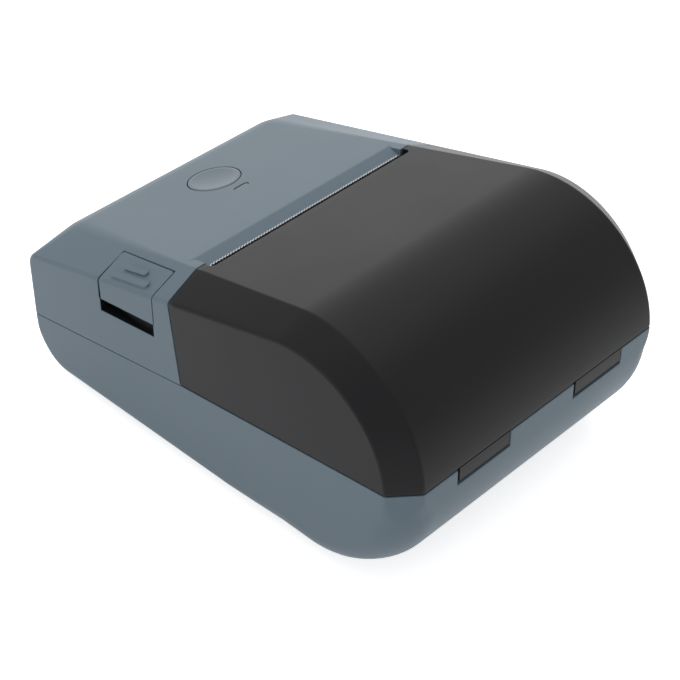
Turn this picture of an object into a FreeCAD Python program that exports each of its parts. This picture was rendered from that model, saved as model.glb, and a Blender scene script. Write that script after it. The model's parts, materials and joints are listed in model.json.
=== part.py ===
import FreeCAD, Part
import Sketcher
import math
import os
import re

from FreeCAD import Placement, Rotation, Vector

# Portable label printer for rolls up to 58 mm wide, in millimetres.
# Frame: +X is the latch side, +Y the hinge end, +Z up, and the feet stand on z = 0.
# The origin is at the middle of the footprint.

doc = FreeCAD.newDocument("label_printer")
sheet = doc.addObject("Spreadsheet::Sheet", "dims")
sheet.Label = "driving_dimensions"

# Driving dimensions

DIMENSIONS = [
    # casing outline
    ("body_length", 114.7),
    ("body_half_width", 40.8),
    ("foot_height", 0.8),
    ("wall", 1.9),
    ("top_slope", 14.1),
    ("rear_radius", 27.64),
    ("rear_centre_height", 29.5),
    ("rear_low_radius", 25.6),
    ("ridge_inset", 8.6),
    ("ridge_flare", 0.053),
    ("front_top_radius", 10.0),
    ("front_low_radius", 11.0),
    ("side_rear_inset", 5.45),
    ("side_rear_radius", 24.0),
    ("side_centre_height", 28.8),
    ("side_low_radius", 22.0),
    ("side_low_rise", 2.4),
    ("side_front_inset", 1.1),
    ("side_front_top_radius", 3.0),
    ("side_front_low_radius", 9.5),
    ("side_edge_radius", 1.2),
    # seams between the casings
    ("lid_length", 63.8),
    ("split_height", 23.55),
    ("seam_slope", 6.5),
    ("case_seam_slope", 8.8),
    ("seam_gap", 0.42),
    ("case_gap", 0.15),
    ("front_gap", 0.3),
    # hinge
    ("hinge_inset", 1.0),
    ("hinge_drop", 1.85),
    ("hinge_pin_radius", 0.5),
    ("hinge_fit", 0.04),
    ("knuckle_inner", 10.35),
    ("knuckle_width", 15.05),
    ("knuckle_gap", 0.4),
    ("knuckle_drop", 2.94),
    ("knuckle_floor_gap", 0.95),
    ("knuckle_depth", 2.6),
    ("hinge_pin_overlap", 2.6),
    # liner of the lid
    ("liner_gap", 0.25),
    ("liner_wall", 1.3),
    ("liner_setback", 1.0),
    # paper slot and tear bar
    ("slot_inset", 10.8),
    ("slot_depth", 2.7),
    ("slot_corner", 1.2),
    ("scoop_width", 3.3),
    ("scoop_drop", 1.5),
    ("lip_height", 2.6),
    ("lip_thickness", 1.6),
    ("tear_bar_thickness", 0.5),
    ("tear_bar_end_gap", 1.5),
    ("tear_bar_rise", 0.5),
    ("tooth_pitch", 1.2),
    ("tooth_depth", 0.6),
    # platen carriage
    ("platen_y", -0.8),
    ("platen_drop", 10.8343),
    ("platen_radius", 5.0),
    ("platen_end_gap", 1.4),
    ("shaft_radius", 2.0),
    ("running_fit", 0.05),
    ("bush_radius", 3.4),
    ("bush_gap", 0.7),
    ("arm_gap", 1.0),
    ("arm_thickness", 1.8),
    ("arm_half_width", 4.5),
    # mechanism frame
    ("plate_gap", 0.2),
    ("plate_thickness", 1.4),
    ("frame_bottom", 16.3),
    ("frame_front", -26.5),
    ("frame_rear", 2.0),
    ("frame_wall", 1.2),
    ("notch_gap", 0.3),
    ("spring_wall_y", -15.5),
    ("spring_wall_below", 4.5),
    ("spring_wall_above", 3.1),
    ("paper_bar_drop", 7.5),
    ("paper_bar_thickness", 1.4),
    ("paper_bar_depth", 3.0),
    ("sensor_inner", 4.0),
    ("sensor_outer", 10.0),
    ("sensor_height", 1.3),
    ("tab_length", 3.4),
    ("tab_width", 4.0),
    ("tab_thickness", 1.0),
    ("tab_rear_y", -6.0),
    ("tab_front_y", -20.0),
    # thermal head
    ("head_gap", 0.3),
    ("head_board", 0.9),
    ("head_below", 5.5),
    ("head_above", 2.9),
    ("sink_thickness", 2.6),
    ("sink_above", 0.6),
    ("head_pivot_drop", 8.5),
    ("head_pivot_radius", 1.0),
    ("head_eye_radius", 2.2),
    ("spring_radius", 1.8),
    ("spring_wire", 0.4),
    ("spring_spread", 18.0),
    ("spring_rise", 0.1),
    # drive train
    ("gear_module", 0.6),
    ("pinion_teeth", 10),
    ("idler_teeth", 30),
    ("platen_teeth", 13),
    ("idler_line", 71.0),
    ("motor_line", 120.0),
    ("gear_width", 2.0),
    ("gear_gap", 0.6),
    ("gear_end_gap", 0.3),
    ("idler_stub_radius", 1.25),
    ("motor_radius", 7.5),
    ("motor_length", 13.0),
    ("motor_shaft_radius", 1.0),
    # paper tub
    ("tub_centre_y", 28.85),
    ("tub_floor_gap", 0.7),
    ("tub_radius", 25.0),
    ("tub_wall", 1.2),
    ("tub_end_gap", 3.0),
    ("tub_front_rise", 0.4),
    ("tub_rear_drop", 3.6),
    ("flange_drop", 1.4),
    ("flange_start", 5.0),
    ("flange_end", 50.0),
    ("flange_gap", 0.6),
    # roll guides
    ("guide_gap", 0.5),
    ("guide_thickness", 2.0),
    ("guide_radius", 21.0),
    ("rack_bottom", 3.2),
    ("rack_thickness", 2.6),
    ("rack_width", 2.3),
    ("rack_line_y", 9.0),
    ("guide_module", 0.8),
    ("guide_pinion_teeth", 9),
    ("guide_post_radius", 0.9),
    # battery bay
    ("bay_inset", 10.4),
    ("bay_front", -41.0),
    ("bay_rear", -8.0),
    ("bay_ceiling", 14.8),
    ("bay_wall", 1.2),
    ("battery_gap", 0.3),
    ("catch_half_width", 6.0),
    ("catch_length", 4.0),
    ("catch_travel", 1.6),
    ("catch_tongue", 1.2),
    # boards, button and light
    ("board_inset", 8.8),
    ("board_tab", 4.0),
    ("board_front", -50.0),
    ("board_rear", -27.2),
    ("board_height", 18.5),
    ("board_thickness", 1.6),
    ("usb_y", -40.0),
    ("usb_width", 9.0),
    ("usb_height", 3.3),
    ("usb_length", 7.4),
    ("button_y", -38.9),
    ("button_radius", 6.1),
    ("button_gap", 0.2),
    ("button_dish", 0.5),
    ("led_y", -29.9),
    ("led_length", 3.9),
    ("led_width", 1.2),
    ("key_board_depth", 6.5),
    ("key_board_thickness", 1.2),
    # latch on the side
    ("latch_front", -31.2),
    ("latch_rear", -13.9),
    ("latch_gap", 0.25),
    ("latch_shell", 1.7),
    ("latch_from_ridge", 1.9),
    ("flap_height", 34.7),
    ("recess_height", 3.3),
    ("recess_depth", 3.4),
    ("barrel_radius", 0.95),
    ("latch_pin_radius", 0.5),
    ("rib_rise", 0.35),
    ("short_rib_inset", 4.2),
    ("long_rib_inset", 1.9),
    ("latch_swing", 12.0),
    ("peg_reach", 0.75),
    ("hook_gap", 0.2),
    ("hook_thickness", 1.4),
    ("hook_end", -8.2),
    ("latch_spring_length", 2.6),
    # feet and fasteners
    ("foot_radius", 4.0),
    ("foot_recess", 0.5),
    ("foot_rear_y", 22.0),
    ("foot_rear_x", 24.0),
    ("foot_front_y", -44.2),
    ("foot_front_x", 19.0),
    ("foot_front_length", 14.0),
    ("foot_front_width", 2.8),
    ("post_inset", 5.0),
    ("post_front_y", -49.0),
    ("post_rear_y", -26.0),
    ("post_radius", 3.2),
    ("case_screw_head", 2.0),
    ("case_screw_shank", 1.0),
    ("case_screw_seat", 10.0),
    ("small_screw_head", 1.4),
    ("small_screw_shank", 0.7),
    ("screw_fit", 0.05),
]

# Sizes that follow the driving dimensions, so that neighbours move together

DERIVED = [
    # half widths, from the casing's side inwards
    ("ridge_half_width", "body_half_width - ridge_inset"),
    ("slot_half_length", "body_half_width - slot_inset"),
    ("tear_bar_half_length", "slot_half_length - tear_bar_end_gap"),
    ("platen_half_length", "slot_half_length - platen_end_gap"),
    ("bush_inner", "platen_half_length + bush_gap"),
    ("plate_inner", "slot_half_length - plate_gap"),
    ("arm_inner", "plate_inner + plate_thickness + arm_gap"),
    ("gear_inner", "arm_inner + arm_thickness + gear_gap"),
    ("guide_inner", "slot_half_length - guide_gap"),
    ("tub_half_length", "slot_half_length + tub_end_gap"),
    ("flange_half_width", "body_half_width - wall - flange_gap"),
    ("bay_half_width", "body_half_width - bay_inset"),
    ("board_half_width", "body_half_width - board_inset"),
    ("post_x", "body_half_width - post_inset"),
    # heights of the print mechanism, from the sloping top down to the platen
    ("top_over_platen", "rear_centre_height + rear_radius / cos(top_slope)"
                        " + tan(top_slope) * (platen_y - body_length / 2 + rear_radius)"),
    ("platen_height", "top_over_platen - platen_drop"),
    ("head_board_bottom", "platen_height - head_below"),
    ("head_board_top", "platen_height + head_above"),
    ("sink_top", "head_board_top + sink_above"),
    ("head_pivot_height", "platen_height - head_pivot_drop"),
    ("spring_height", "platen_height + spring_rise"),
    ("spring_wall_bottom", "platen_height - spring_wall_below"),
    ("spring_wall_top", "platen_height + spring_wall_above"),
    ("paper_bar_top", "platen_height - paper_bar_drop"),
    # paper tub, from the floor up
    ("tub_centre_height", "foot_height + wall + tub_floor_gap + tub_wall + tub_radius"),
]

NAMES = {alias for alias, _ in DIMENSIONS}
DERIVED_NAMES = {alias for alias, _ in DERIVED}
for row, (alias, value) in enumerate(DIMENSIONS, start=1):
    sheet.set(f"A{row}", alias)
    sheet.set(f"B{row}", str(value))
    sheet.setAlias(f"B{row}", alias)
doc.recompute()


WORD = re.compile(r"[a-z_]+[a-z0-9_]*")


def bound(text):
    """Turn a formula of plain names into one that reads the sheet and the derived sizes."""
    def source(word):
        if word.group() in NAMES:
            return "dims." + word.group()
        return "derived." + word.group() if word.group() in DERIVED_NAMES else word.group()

    return WORD.sub(source, text)


derived = doc.addObject("App::FeaturePython", "derived")
for alias, formula in DERIVED:
    derived.addProperty("App::PropertyFloat", alias, "Derived")
    derived.setExpression(alias, bound(formula))
    doc.recompute()


class Sizes:
    """Driving and derived sizes, read from the document by name."""

    def __getattr__(self, alias):
        return float(getattr(derived, alias) if alias in DERIVED_NAMES else sheet.get(alias))


size = Sizes()


# Derived places

X_AXIS, Y_AXIS, Z_AXIS = Vector(1, 0, 0), Vector(0, 1, 0), Vector(0, 0, 1)
FAR = 200.0
SIDES = (-1, 1)

rear_y = size.body_length / 2
front_y = -size.body_length / 2
split_y = rear_y - size.lid_length
slope = math.radians(size.top_slope)
seam = math.radians(size.seam_slope)
casing_bottom = size.foot_height
floor_top = casing_bottom + size.wall
hinge_y = rear_y - size.hinge_inset
hinge_z = size.split_height + math.tan(seam) * (hinge_y - split_y) - size.hinge_drop
plate_outer = size.plate_inner + size.plate_thickness
arm_outer = size.arm_inner + size.arm_thickness
gear_outer = size.gear_inner + size.gear_width


def top_height(y, inset=0.0):
    """Height of the sloping top over a place y, inset from the outer surface."""
    centre_y = rear_y - size.rear_radius
    lift = (size.rear_radius - inset) / math.cos(slope)
    return size.rear_centre_height + lift + math.tan(slope) * (y - centre_y)


def ridge_x(y):
    """Half width of the top between its two ridges."""
    return size.ridge_half_width + size.ridge_flare * (y - split_y)


def seam_height(y):
    """Height of the lid's bottom edge plane."""
    return size.split_height + math.tan(seam) * (y - split_y)


def case_seam_height(y):
    """Height of the seam between the two casings in front of the lid."""
    return size.split_height + math.tan(math.radians(size.case_seam_slope)) * (y - split_y)


SEAM_PLACE = Placement(Vector(0, split_y, size.split_height), Rotation(X_AXIS, size.seam_slope))
CASE_SEAM_PLACE = Placement(Vector(0, split_y, size.split_height), Rotation(X_AXIS, size.case_seam_slope))


def top_place(y):
    """Frame lying on the sloping top: its z axis is the surface's outward normal."""
    return Placement(Vector(0, y, top_height(y)), Rotation(X_AXIS, size.top_slope))


def brick(x0, x1, y0, y1, z0, z1, place=None):
    """Solid block between two corners, in a frame when one is given."""
    shape = Part.makeBox(x1 - x0, y1 - y0, z1 - z0, Vector(x0, y0, z0))
    if place is not None:
        shape = shape.transformed(place.toMatrix())
    return shape


def rod_shape(radius, length, start, along):
    """Solid round rod from a start point."""
    return Part.makeCylinder(radius, length, start, along)


def joined(shapes):
    """Union of several shapes."""
    return shapes[0].multiFuse(shapes[1:]).removeSplitter() if len(shapes) > 1 else shapes[0]


# Casing form: a ruled loft through two flat sides and two ridges

def profile(x_at, centre, radius, rear, bottom, low_radius, front, top_radius, front_low):
    """Closed outline in an upright plane: sloping top, round rear, flat base, round front."""
    centre_y, centre_z = centre

    def at(y, z):
        return Vector(x_at(y), y, z)

    def arc(middle, arc_radius, start, end):
        angles = (math.radians(start), math.radians((start + end) / 2), math.radians(end))
        points = [at(middle[0] + arc_radius * math.cos(a), middle[1] + arc_radius * math.sin(a)) for a in angles]
        return Part.Arc(*points).toShape()

    def line(start, end):
        return Part.LineSegment(at(*start), at(*end)).toShape()

    lean = 90 + size.top_slope
    crown = (centre_y + radius * math.cos(math.radians(lean)), centre_z + radius * math.sin(math.radians(lean)))
    brow_y = front + top_radius
    brow = (brow_y, crown[1] - math.tan(slope) * (crown[0] - brow_y) - top_radius / math.cos(slope))
    brow_end = (
        brow[0] + top_radius * math.cos(math.radians(lean)),
        brow[1] + top_radius * math.sin(math.radians(lean)),
    )
    heel = (rear - low_radius, bottom + low_radius)
    toe = (front + front_low, bottom + front_low)
    return Part.Wire([
        line(brow_end, crown),
        arc((centre_y, centre_z), radius, lean, 0),
        line((rear, centre_z), (rear, heel[1])),
        arc(heel, low_radius, 0, -90),
        line((heel[0], bottom), (toe[0], bottom)),
        arc(toe, front_low, -90, -180),
        line((front, toe[1]), (front, brow[1])),
        arc(brow, top_radius, 180, lean),
    ])


def casing_form(inset, edge_radius=0.0):
    """Whole outer form of the printer, drawn in by an inset all over."""
    run = size.body_half_width - size.ridge_half_width
    rise = size.rear_radius - size.side_rear_radius
    slant = math.hypot(run, rise)
    side_share = (slant - rise) / run
    ridge_share = (slant - run) / rise
    low_share = (math.hypot(run, size.side_low_rise) - size.side_low_rise) / run

    side_radius = size.side_rear_radius - side_share * inset
    side_rear = rear_y - size.side_rear_inset - side_share * inset
    side_centre = (rear_y - size.side_rear_inset - size.side_rear_radius, size.side_centre_height)
    side_bottom = casing_bottom + size.side_low_rise + low_share * inset
    side_front = front_y + size.side_front_inset + inset
    ridge_centre = (rear_y - size.rear_radius, size.rear_centre_height)

    def side_section(sign):
        return profile(
            lambda y: sign * (size.body_half_width - inset), side_centre, side_radius, side_rear, side_bottom,
            size.side_low_radius - side_share * inset, side_front,
            size.side_front_top_radius - side_share * inset, size.side_front_low_radius - side_share * inset)

    def ridge_section(sign):
        return profile(
            lambda y: sign * (ridge_x(y) - ridge_share * inset), ridge_centre, size.rear_radius - inset,
            rear_y - inset, casing_bottom + inset, size.rear_low_radius - inset, front_y + inset,
            size.front_top_radius - inset, size.front_low_radius - inset)

    form = Part.makeLoft([side_section(-1), ridge_section(-1), ridge_section(1), side_section(1)], True, True)
    if edge_radius > 0:
        side_x = size.body_half_width - inset
        rims = [e for e in form.Edges if all(abs(abs(v.Point.x) - side_x) < 1e-3 for v in e.Vertexes)]
        form = form.makeFillet(edge_radius, rims)
    return form


outer_form = casing_form(0.0, size.side_edge_radius)
inner_form = casing_form(size.wall)

lid_zone = brick(-FAR, FAR, size.front_gap, FAR, size.seam_gap, FAR, SEAM_PLACE)
behind_split = brick(-FAR, FAR, 0, FAR, -FAR, FAR, SEAM_PLACE)
below_seam = brick(-FAR, FAR, -FAR, FAR, -FAR, 0, SEAM_PLACE)
below_case_seam = brick(-FAR, FAR, -FAR, FAR, -FAR, 0, CASE_SEAM_PLACE)
lower_zone = joined([behind_split.common(below_seam), below_case_seam.cut(behind_split)])
upper_zone = brick(-FAR, FAR, -FAR, 0, -FAR, FAR, SEAM_PLACE).cut(
    brick(-FAR, FAR, -FAR, FAR, -FAR, size.case_gap, CASE_SEAM_PLACE))

nodes = {}


def keep_shape(label, shape):
    """Store a moulded piece that is cut from the casing form."""
    feature = doc.addObject("Part::Feature", label)
    feature.Shape = shape
    feature.Label = label
    nodes[label] = feature
    return feature


def keep(label, feature):
    """Register a finished parametric object as a sub-part."""
    feature.Label = label
    nodes[label] = feature
    return feature


# Parametric primitives bound to the sheet

def rod(name, radius, length, x, y, z, along=X_AXIS):
    """Cylinder whose radius, length and start point are formulas."""
    feature = doc.addObject("Part::Cylinder", name)
    feature.Placement = Placement(Vector(), Rotation(Z_AXIS, along))
    feature.setExpression("Radius", bound(radius))
    feature.setExpression("Height", bound(length))
    for axis, formula in zip("xyz", (x, y, z)):
        feature.setExpression(f"Placement.Base.{axis}", bound(formula))
    return feature


def fused(name, *features):
    """Union of document objects."""
    feature = doc.addObject("Part::MultiFuse", name)
    feature.Shapes = list(features)
    return feature


def grouped(name, *features):
    """Separate solids that share one node."""
    feature = doc.addObject("Part::Compound", name)
    feature.Links = list(features)
    return feature


def carved(name, base, *tools):
    """Base with one or more tools cut away."""
    tool = tools[0] if len(tools) == 1 else fused(name + "_tools", *tools)
    feature = doc.addObject("Part::Cut", name)
    feature.Base = base
    feature.Tool = tool
    return feature


def origin_plane(body, role):
    """Origin plane of a body by its role."""
    return next(item for item in body.Origin.OriginFeatures if item.Role == role)


def sketch_on(body, name, role="XY_Plane"):
    """Empty sketch on one of the body's own planes."""
    sketch = body.newObject("Sketcher::SketchObject", name)
    sketch.AttachmentSupport = [(origin_plane(body, role), "")]
    sketch.MapMode = "FlatFace"
    return sketch


def draw_circle(sketch, radius):
    """Circle about the sketch's origin, with a bound radius."""
    index = sketch.addGeometry(Part.Circle(Vector(), Z_AXIS, 1.0), False)
    sketch.addConstraint(Sketcher.Constraint("Coincident", index, 3, -1, 1))
    number = sketch.addConstraint(Sketcher.Constraint("Radius", index, 1.0))
    sketch.setExpression(f"Constraints[{number}]", bound(radius))


def draw_outline(sketch, points):
    """Closed outline whose corners are pairs of formulas."""
    corners = [Vector(10 * math.cos(k), 10 * math.sin(k), 0) for k in
               [2 * math.pi * i / len(points) for i in range(len(points))]]
    lines = []
    for i, corner in enumerate(corners):
        following = corners[(i + 1) % len(corners)]
        lines.append(sketch.addGeometry(Part.LineSegment(corner, following), False))
    for i, index in enumerate(lines):
        sketch.addConstraint(Sketcher.Constraint("Coincident", index, 2, lines[(i + 1) % len(lines)], 1))
    for index, (across, up) in zip(lines, points):
        for kind, formula in (("DistanceX", across), ("DistanceY", up)):
            number = sketch.addConstraint(Sketcher.Constraint(kind, -1, 1, index, 1, 1.0))
            sketch.setExpression(f"Constraints[{number}]", bound(formula))


def pad(body, name, sketch, length):
    """Pad of a sketch by a bound length."""
    feature = body.newObject("PartDesign::Pad", name)
    feature.Profile = sketch
    feature.setExpression("Length", bound(length))
    return feature


def gear(label, teeth, module, width, bore, place):
    """Spur gear: root disc, one tooth patterned round it, and a bore."""
    body = doc.addObject("PartDesign::Body", label)
    pitch = f"{teeth} * {module} / 2"
    root_sketch = sketch_on(body, label + "_root")
    draw_circle(root_sketch, f"{pitch} - 1.2 * {module}")
    pad(body, label + "_disc", root_sketch, width)
    tooth_sketch = sketch_on(body, label + "_tooth")
    inner, tip = f"{pitch} - 1.5 * {module}", f"{pitch} + 0.85 * {module}"
    draw_outline(tooth_sketch, [
        (inner, f"-0.88 * {module}"), (tip, f"-0.33 * {module}"), (tip, f"0.33 * {module}"),
        (inner, f"0.88 * {module}")])
    tooth = pad(body, label + "_tooth_pad", tooth_sketch, width)
    pattern = body.newObject("PartDesign::PolarPattern", label + "_teeth")
    pattern.Originals = [tooth]
    pattern.Axis = (tooth_sketch, ["N_Axis"])
    pattern.Angle = 360.0
    pattern.setExpression("Occurrences", bound(teeth))
    body.Tip = pattern
    doc.recompute()
    bore_sketch = sketch_on(body, label + "_bore")
    draw_circle(bore_sketch, bore)
    pocket = body.newObject("PartDesign::Pocket", label + "_hole")
    pocket.Profile = bore_sketch
    pocket.Type = "ThroughAll"
    pocket.Midplane = True
    body.Tip = pocket
    body.Placement = place
    return keep(label, body)


# Lid and its liner

def slot_tool(depth):
    """Rounded paper slot cut in from the lid's front edge."""
    tool = Part.makeBox(
        2 * size.slot_half_length, depth + 6, 40, Vector(-size.slot_half_length, -6, 8))
    ends = [e for e in tool.Edges if abs(e.Vertexes[0].Point.z - e.Vertexes[-1].Point.z) > 1
            and e.Vertexes[0].Point.y > 0]
    return tool.makeFillet(size.slot_corner, ends).transformed(SEAM_PLACE.toMatrix())


def hinge_rods(grow):
    """Round bars on the hinge line, one through each knuckle into the casing at both ends."""
    length = size.knuckle_width + 2 * (size.knuckle_gap + size.hinge_pin_overlap)
    inner = size.knuckle_inner - size.knuckle_gap - size.hinge_pin_overlap
    starts = (inner, -inner - length)
    return [rod_shape(size.hinge_pin_radius + grow, length, Vector(x, hinge_y, hinge_z), X_AXIS) for x in starts]


lid_screw_places = [(x, y) for x in (-16, 16) for y in (9.0, 19.0)]


def top_rod(radius, depth_from, depth_to, x, y):
    """Rod square to the sloping top, between two depths under its surface."""
    place = top_place(y)
    start = place.multVec(Vector(x, 0, -depth_to))
    axis = place.Rotation.multVec(Z_AXIS)
    return Part.makeCylinder(radius, depth_to - depth_from, start, axis)


liner_outer_inset = size.wall + size.liner_gap
liner_inner_inset = liner_outer_inset + size.liner_wall
lid_shell = outer_form.common(lid_zone).cut(inner_form).cut(slot_tool(size.slot_depth))
screw_bores = [top_rod(size.small_screw_shank + size.screw_fit, 0.9, liner_inner_inset + 1, x, y)
               for x, y in lid_screw_places]
keep_shape("lid", lid_shell.cut(joined(screw_bores)))


inside_liner = casing_form(liner_outer_inset + 0.2)


def knuckle(sign):
    """Hinge knuckle: a block under the lid's rear edge that carries the pin."""
    low = hinge_z - (size.knuckle_drop - size.hinge_drop)
    inner, outer = size.knuckle_inner, size.knuckle_inner + size.knuckle_width
    x0, x1 = sorted((sign * inner, sign * outer))
    rear = rear_y - 0.1
    foot = brick(x0, x1, rear - size.knuckle_depth - 0.9, rear, low, seam_height(rear_y) - 0.1)
    neck = brick(x0, x1, rear_y - liner_outer_inset - size.knuckle_depth, rear_y - liner_outer_inset, low,
                 seam_height(rear_y) + 5.0)
    return foot.fuse(neck.common(inside_liner))


def platen_arm(sign):
    """Arm of the liner that carries one end of the platen shaft."""
    x0, x1 = sorted((sign * size.arm_inner, sign * arm_outer))
    half = size.arm_half_width
    hanger = brick(x0, x1, size.platen_y - half, size.platen_y + half, size.platen_height,
                   size.platen_height + 20)
    eye = rod_shape(half, size.arm_thickness, Vector(x0, size.platen_y, size.platen_height), X_AXIS)
    return hanger.fuse(eye)


liner_zone = brick(-FAR, FAR, size.liner_setback, FAR, size.seam_gap + 0.2, FAR, SEAM_PLACE)
liner_body = casing_form(liner_outer_inset).common(liner_zone).cut(casing_form(liner_inner_inset))
arms = [platen_arm(sign).common(inside_liner) for sign in SIDES]
catch_peg = brick(arm_outer - 0.2, arm_outer + size.peg_reach, size.platen_y - 8.8, size.platen_y - 3.6,
                  size.platen_height - 3.3, size.platen_height - 0.9)
liner = joined([liner_body, knuckle(-1), knuckle(1), *arms, catch_peg])
liner_cuts = [
    slot_tool(size.slot_depth + 0.6),
    rod_shape(size.shaft_radius + size.running_fit, FAR,
              Vector(-FAR / 2, size.platen_y, size.platen_height), X_AXIS),
    *hinge_rods(size.hinge_fit),
]
liner_cuts += [top_rod(size.small_screw_shank + size.screw_fit, 1.0, liner_inner_inset + 2, x, y)
               for x, y in lid_screw_places]
keep_shape("lid_liner", liner.cut(joined(liner_cuts)))

lid_screws = [
    joined([
        top_rod(size.small_screw_shank, 1.0, liner_inner_inset + 0.1, x, y),
        top_rod(size.small_screw_head, liner_inner_inset, liner_inner_inset + 0.9, x, y),
    ])
    for x, y in lid_screw_places
]
keep_shape("lid_screws", Part.makeCompound(lid_screws))

# Lower casing

bay_outer = size.bay_half_width + size.bay_wall
added_limit = casing_form(size.wall * 0.4)
bay_shell = brick(-bay_outer, bay_outer, size.bay_front - size.bay_wall, size.bay_rear + size.bay_wall,
                  casing_bottom, size.bay_ceiling + size.bay_wall)
bay_space = brick(-size.bay_half_width, size.bay_half_width, size.bay_front, size.bay_rear,
                  -1, size.bay_ceiling)
case_screw_places = [(sign * size.post_x, y) for sign in SIDES for y in (size.post_front_y, size.post_rear_y)]
frame_screw_x = plate_outer + size.tab_length / 2
frame_screw_places = [(sign * frame_screw_x, y) for sign in SIDES for y in (size.tab_front_y, size.tab_rear_y)]
board_screw_places = [(x, y) for x in (-26.0, 26.0) for y in (-38.0, -30.0)]

lower_shell = outer_form.common(lower_zone).cut(inner_form)
posts = [rod_shape(size.post_radius, case_seam_height(y) - casing_bottom, Vector(x, y, casing_bottom), Z_AXIS)
         for x, y in case_screw_places]
frame_posts = [rod_shape(1.9, size.frame_bottom - casing_bottom, Vector(x, y, casing_bottom), Z_AXIS)
               for x, y in frame_screw_places]
board_posts = [rod_shape(2.0, size.board_height - size.bay_ceiling, Vector(x, y, size.bay_ceiling), Z_AXIS)
               for x, y in board_screw_places]
hinge_bosses = []
for sign in SIDES:
    for edge, width in ((size.knuckle_inner - size.knuckle_gap - 3.2, 3.2),
                        (size.knuckle_inner + size.knuckle_width + size.knuckle_gap, 3.2)):
        x0, x1 = sorted((sign * edge, sign * (edge + width)))
        hinge_bosses.append(brick(x0, x1, rear_y - size.wall - 1.8, rear_y - 0.5, hinge_z - 2.2,
                                  hinge_z + size.hinge_drop - 0.2))
tub_posts = [rod_shape(1.6, size.rack_bottom - 0.3 - casing_bottom, Vector(0, size.rack_line_y, casing_bottom),
                       Z_AXIS)]
added = joined([bay_shell, *posts, *frame_posts, *board_posts, *hinge_bosses, *tub_posts])
added = added.common(added_limit).common(lower_zone)
lower = lower_shell.fuse(added)

foot_tools = [rod_shape(size.foot_radius + 0.1, 1.0, Vector(s * size.foot_rear_x, size.foot_rear_y,
                                                            casing_bottom + size.foot_recess - 1), Z_AXIS)
              for s in SIDES]
foot_tools += [brick(s * size.foot_front_x - size.foot_front_length / 2 - 0.1,
                     s * size.foot_front_x + size.foot_front_length / 2 + 0.1,
                     size.foot_front_y - size.foot_front_width / 2 - 0.1,
                     size.foot_front_y + size.foot_front_width / 2 + 0.1,
                     casing_bottom + size.foot_recess - 1, casing_bottom + size.foot_recess) for s in SIDES]
screw_tools = []
for x, y in case_screw_places:
    screw_tools.append(rod_shape(size.case_screw_head + 0.3, size.case_screw_seat, Vector(x, y, 0), Z_AXIS))
    screw_tools.append(rod_shape(size.case_screw_shank + size.screw_fit, 40, Vector(x, y, 0), Z_AXIS))
for x, y in frame_screw_places:
    screw_tools.append(rod_shape(size.small_screw_shank + size.screw_fit, 6.5,
                                 Vector(x, y, size.frame_bottom - 6), Z_AXIS))
for x, y in board_screw_places:
    screw_tools.append(rod_shape(size.small_screw_shank + size.screw_fit, 3.0,
                                 Vector(x, y, size.board_height - 2.4), Z_AXIS))
notch_low = hinge_z - (size.knuckle_drop - size.hinge_drop) - size.knuckle_floor_gap
notches = []
for sign in SIDES:
    x0, x1 = sorted((sign * (size.knuckle_inner - size.knuckle_gap),
                     sign * (size.knuckle_inner + size.knuckle_width + size.knuckle_gap)))
    notches.append(brick(x0, x1, rear_y - size.wall - 4, rear_y + 1, notch_low, FAR))
catch_rear = size.bay_front - 0.2
catch_front = catch_rear - size.catch_length
catch_slot = brick(-size.catch_half_width - 0.2, size.catch_half_width + 0.2,
                   catch_front - size.catch_travel - 0.2, size.bay_front + 0.5, -1, floor_top + 0.2)
tongue_slot = brick(-4.2, 4.2, catch_rear - 3.0, size.bay_front + 0.5, -1,
                    floor_top + size.catch_tongue + 0.8)
contact_slot = brick(-8.2, 8.2, size.bay_rear - 4.2, size.bay_rear - 0.8, size.bay_ceiling - 1,
                     size.bay_ceiling + size.bay_wall + 1)
guide_post_bore = rod_shape(size.guide_post_radius + size.screw_fit, 20, Vector(0, size.rack_line_y, floor_top - 1),
                            Z_AXIS)
lower = lower.cut(joined([bay_space, *foot_tools, *screw_tools, *notches, catch_slot, tongue_slot,
                          contact_slot, guide_post_bore, *hinge_rods(size.hinge_fit)]))
keep_shape("lower_case", lower)

# Upper casing

flap_slope = math.tan(math.radians(size.case_seam_slope - 1.2))
flap_middle = (size.latch_front + size.latch_rear) / 2


def flap_line(y, drop=0.0):
    """Height of the latch flap's lower edge over a place y."""
    return size.flap_height - drop + flap_slope * (y - flap_middle)


def latch_prism(grow, drop, top_shift=0.0):
    """Upright prism over the latch, bounded below by the flap's lower edge."""
    y0, y1 = size.latch_front - grow, size.latch_rear + grow
    x_far = size.body_half_width + 3
    corners = []
    for y, x in ((y0, ridge_x(y0) + size.latch_from_ridge + top_shift), (y0, x_far), (y1, x_far),
                 (y1, ridge_x(y1) + size.latch_from_ridge + top_shift)):
        corners.append(Vector(x, y, flap_line(y, drop)))
    base = Part.Face(Part.makePolygon(corners + corners[:1]))
    return base.extrude(Vector(0, 0, 40))


chamfer_drop = top_height(0) - (size.side_centre_height + size.side_rear_radius / math.cos(slope)
                                + math.tan(slope) * (0 - (rear_y - size.side_rear_inset - size.side_rear_radius)))


def on_chamfer(y, across, depth=0.0):
    """Point on the side chamfer: across is the distance out from the ridge."""
    run = size.body_half_width - ridge_x(y)
    x = ridge_x(y) + across
    z = top_height(y) - chamfer_drop * across / run
    return Vector(x, y, z) - chamfer_normal * depth


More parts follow.
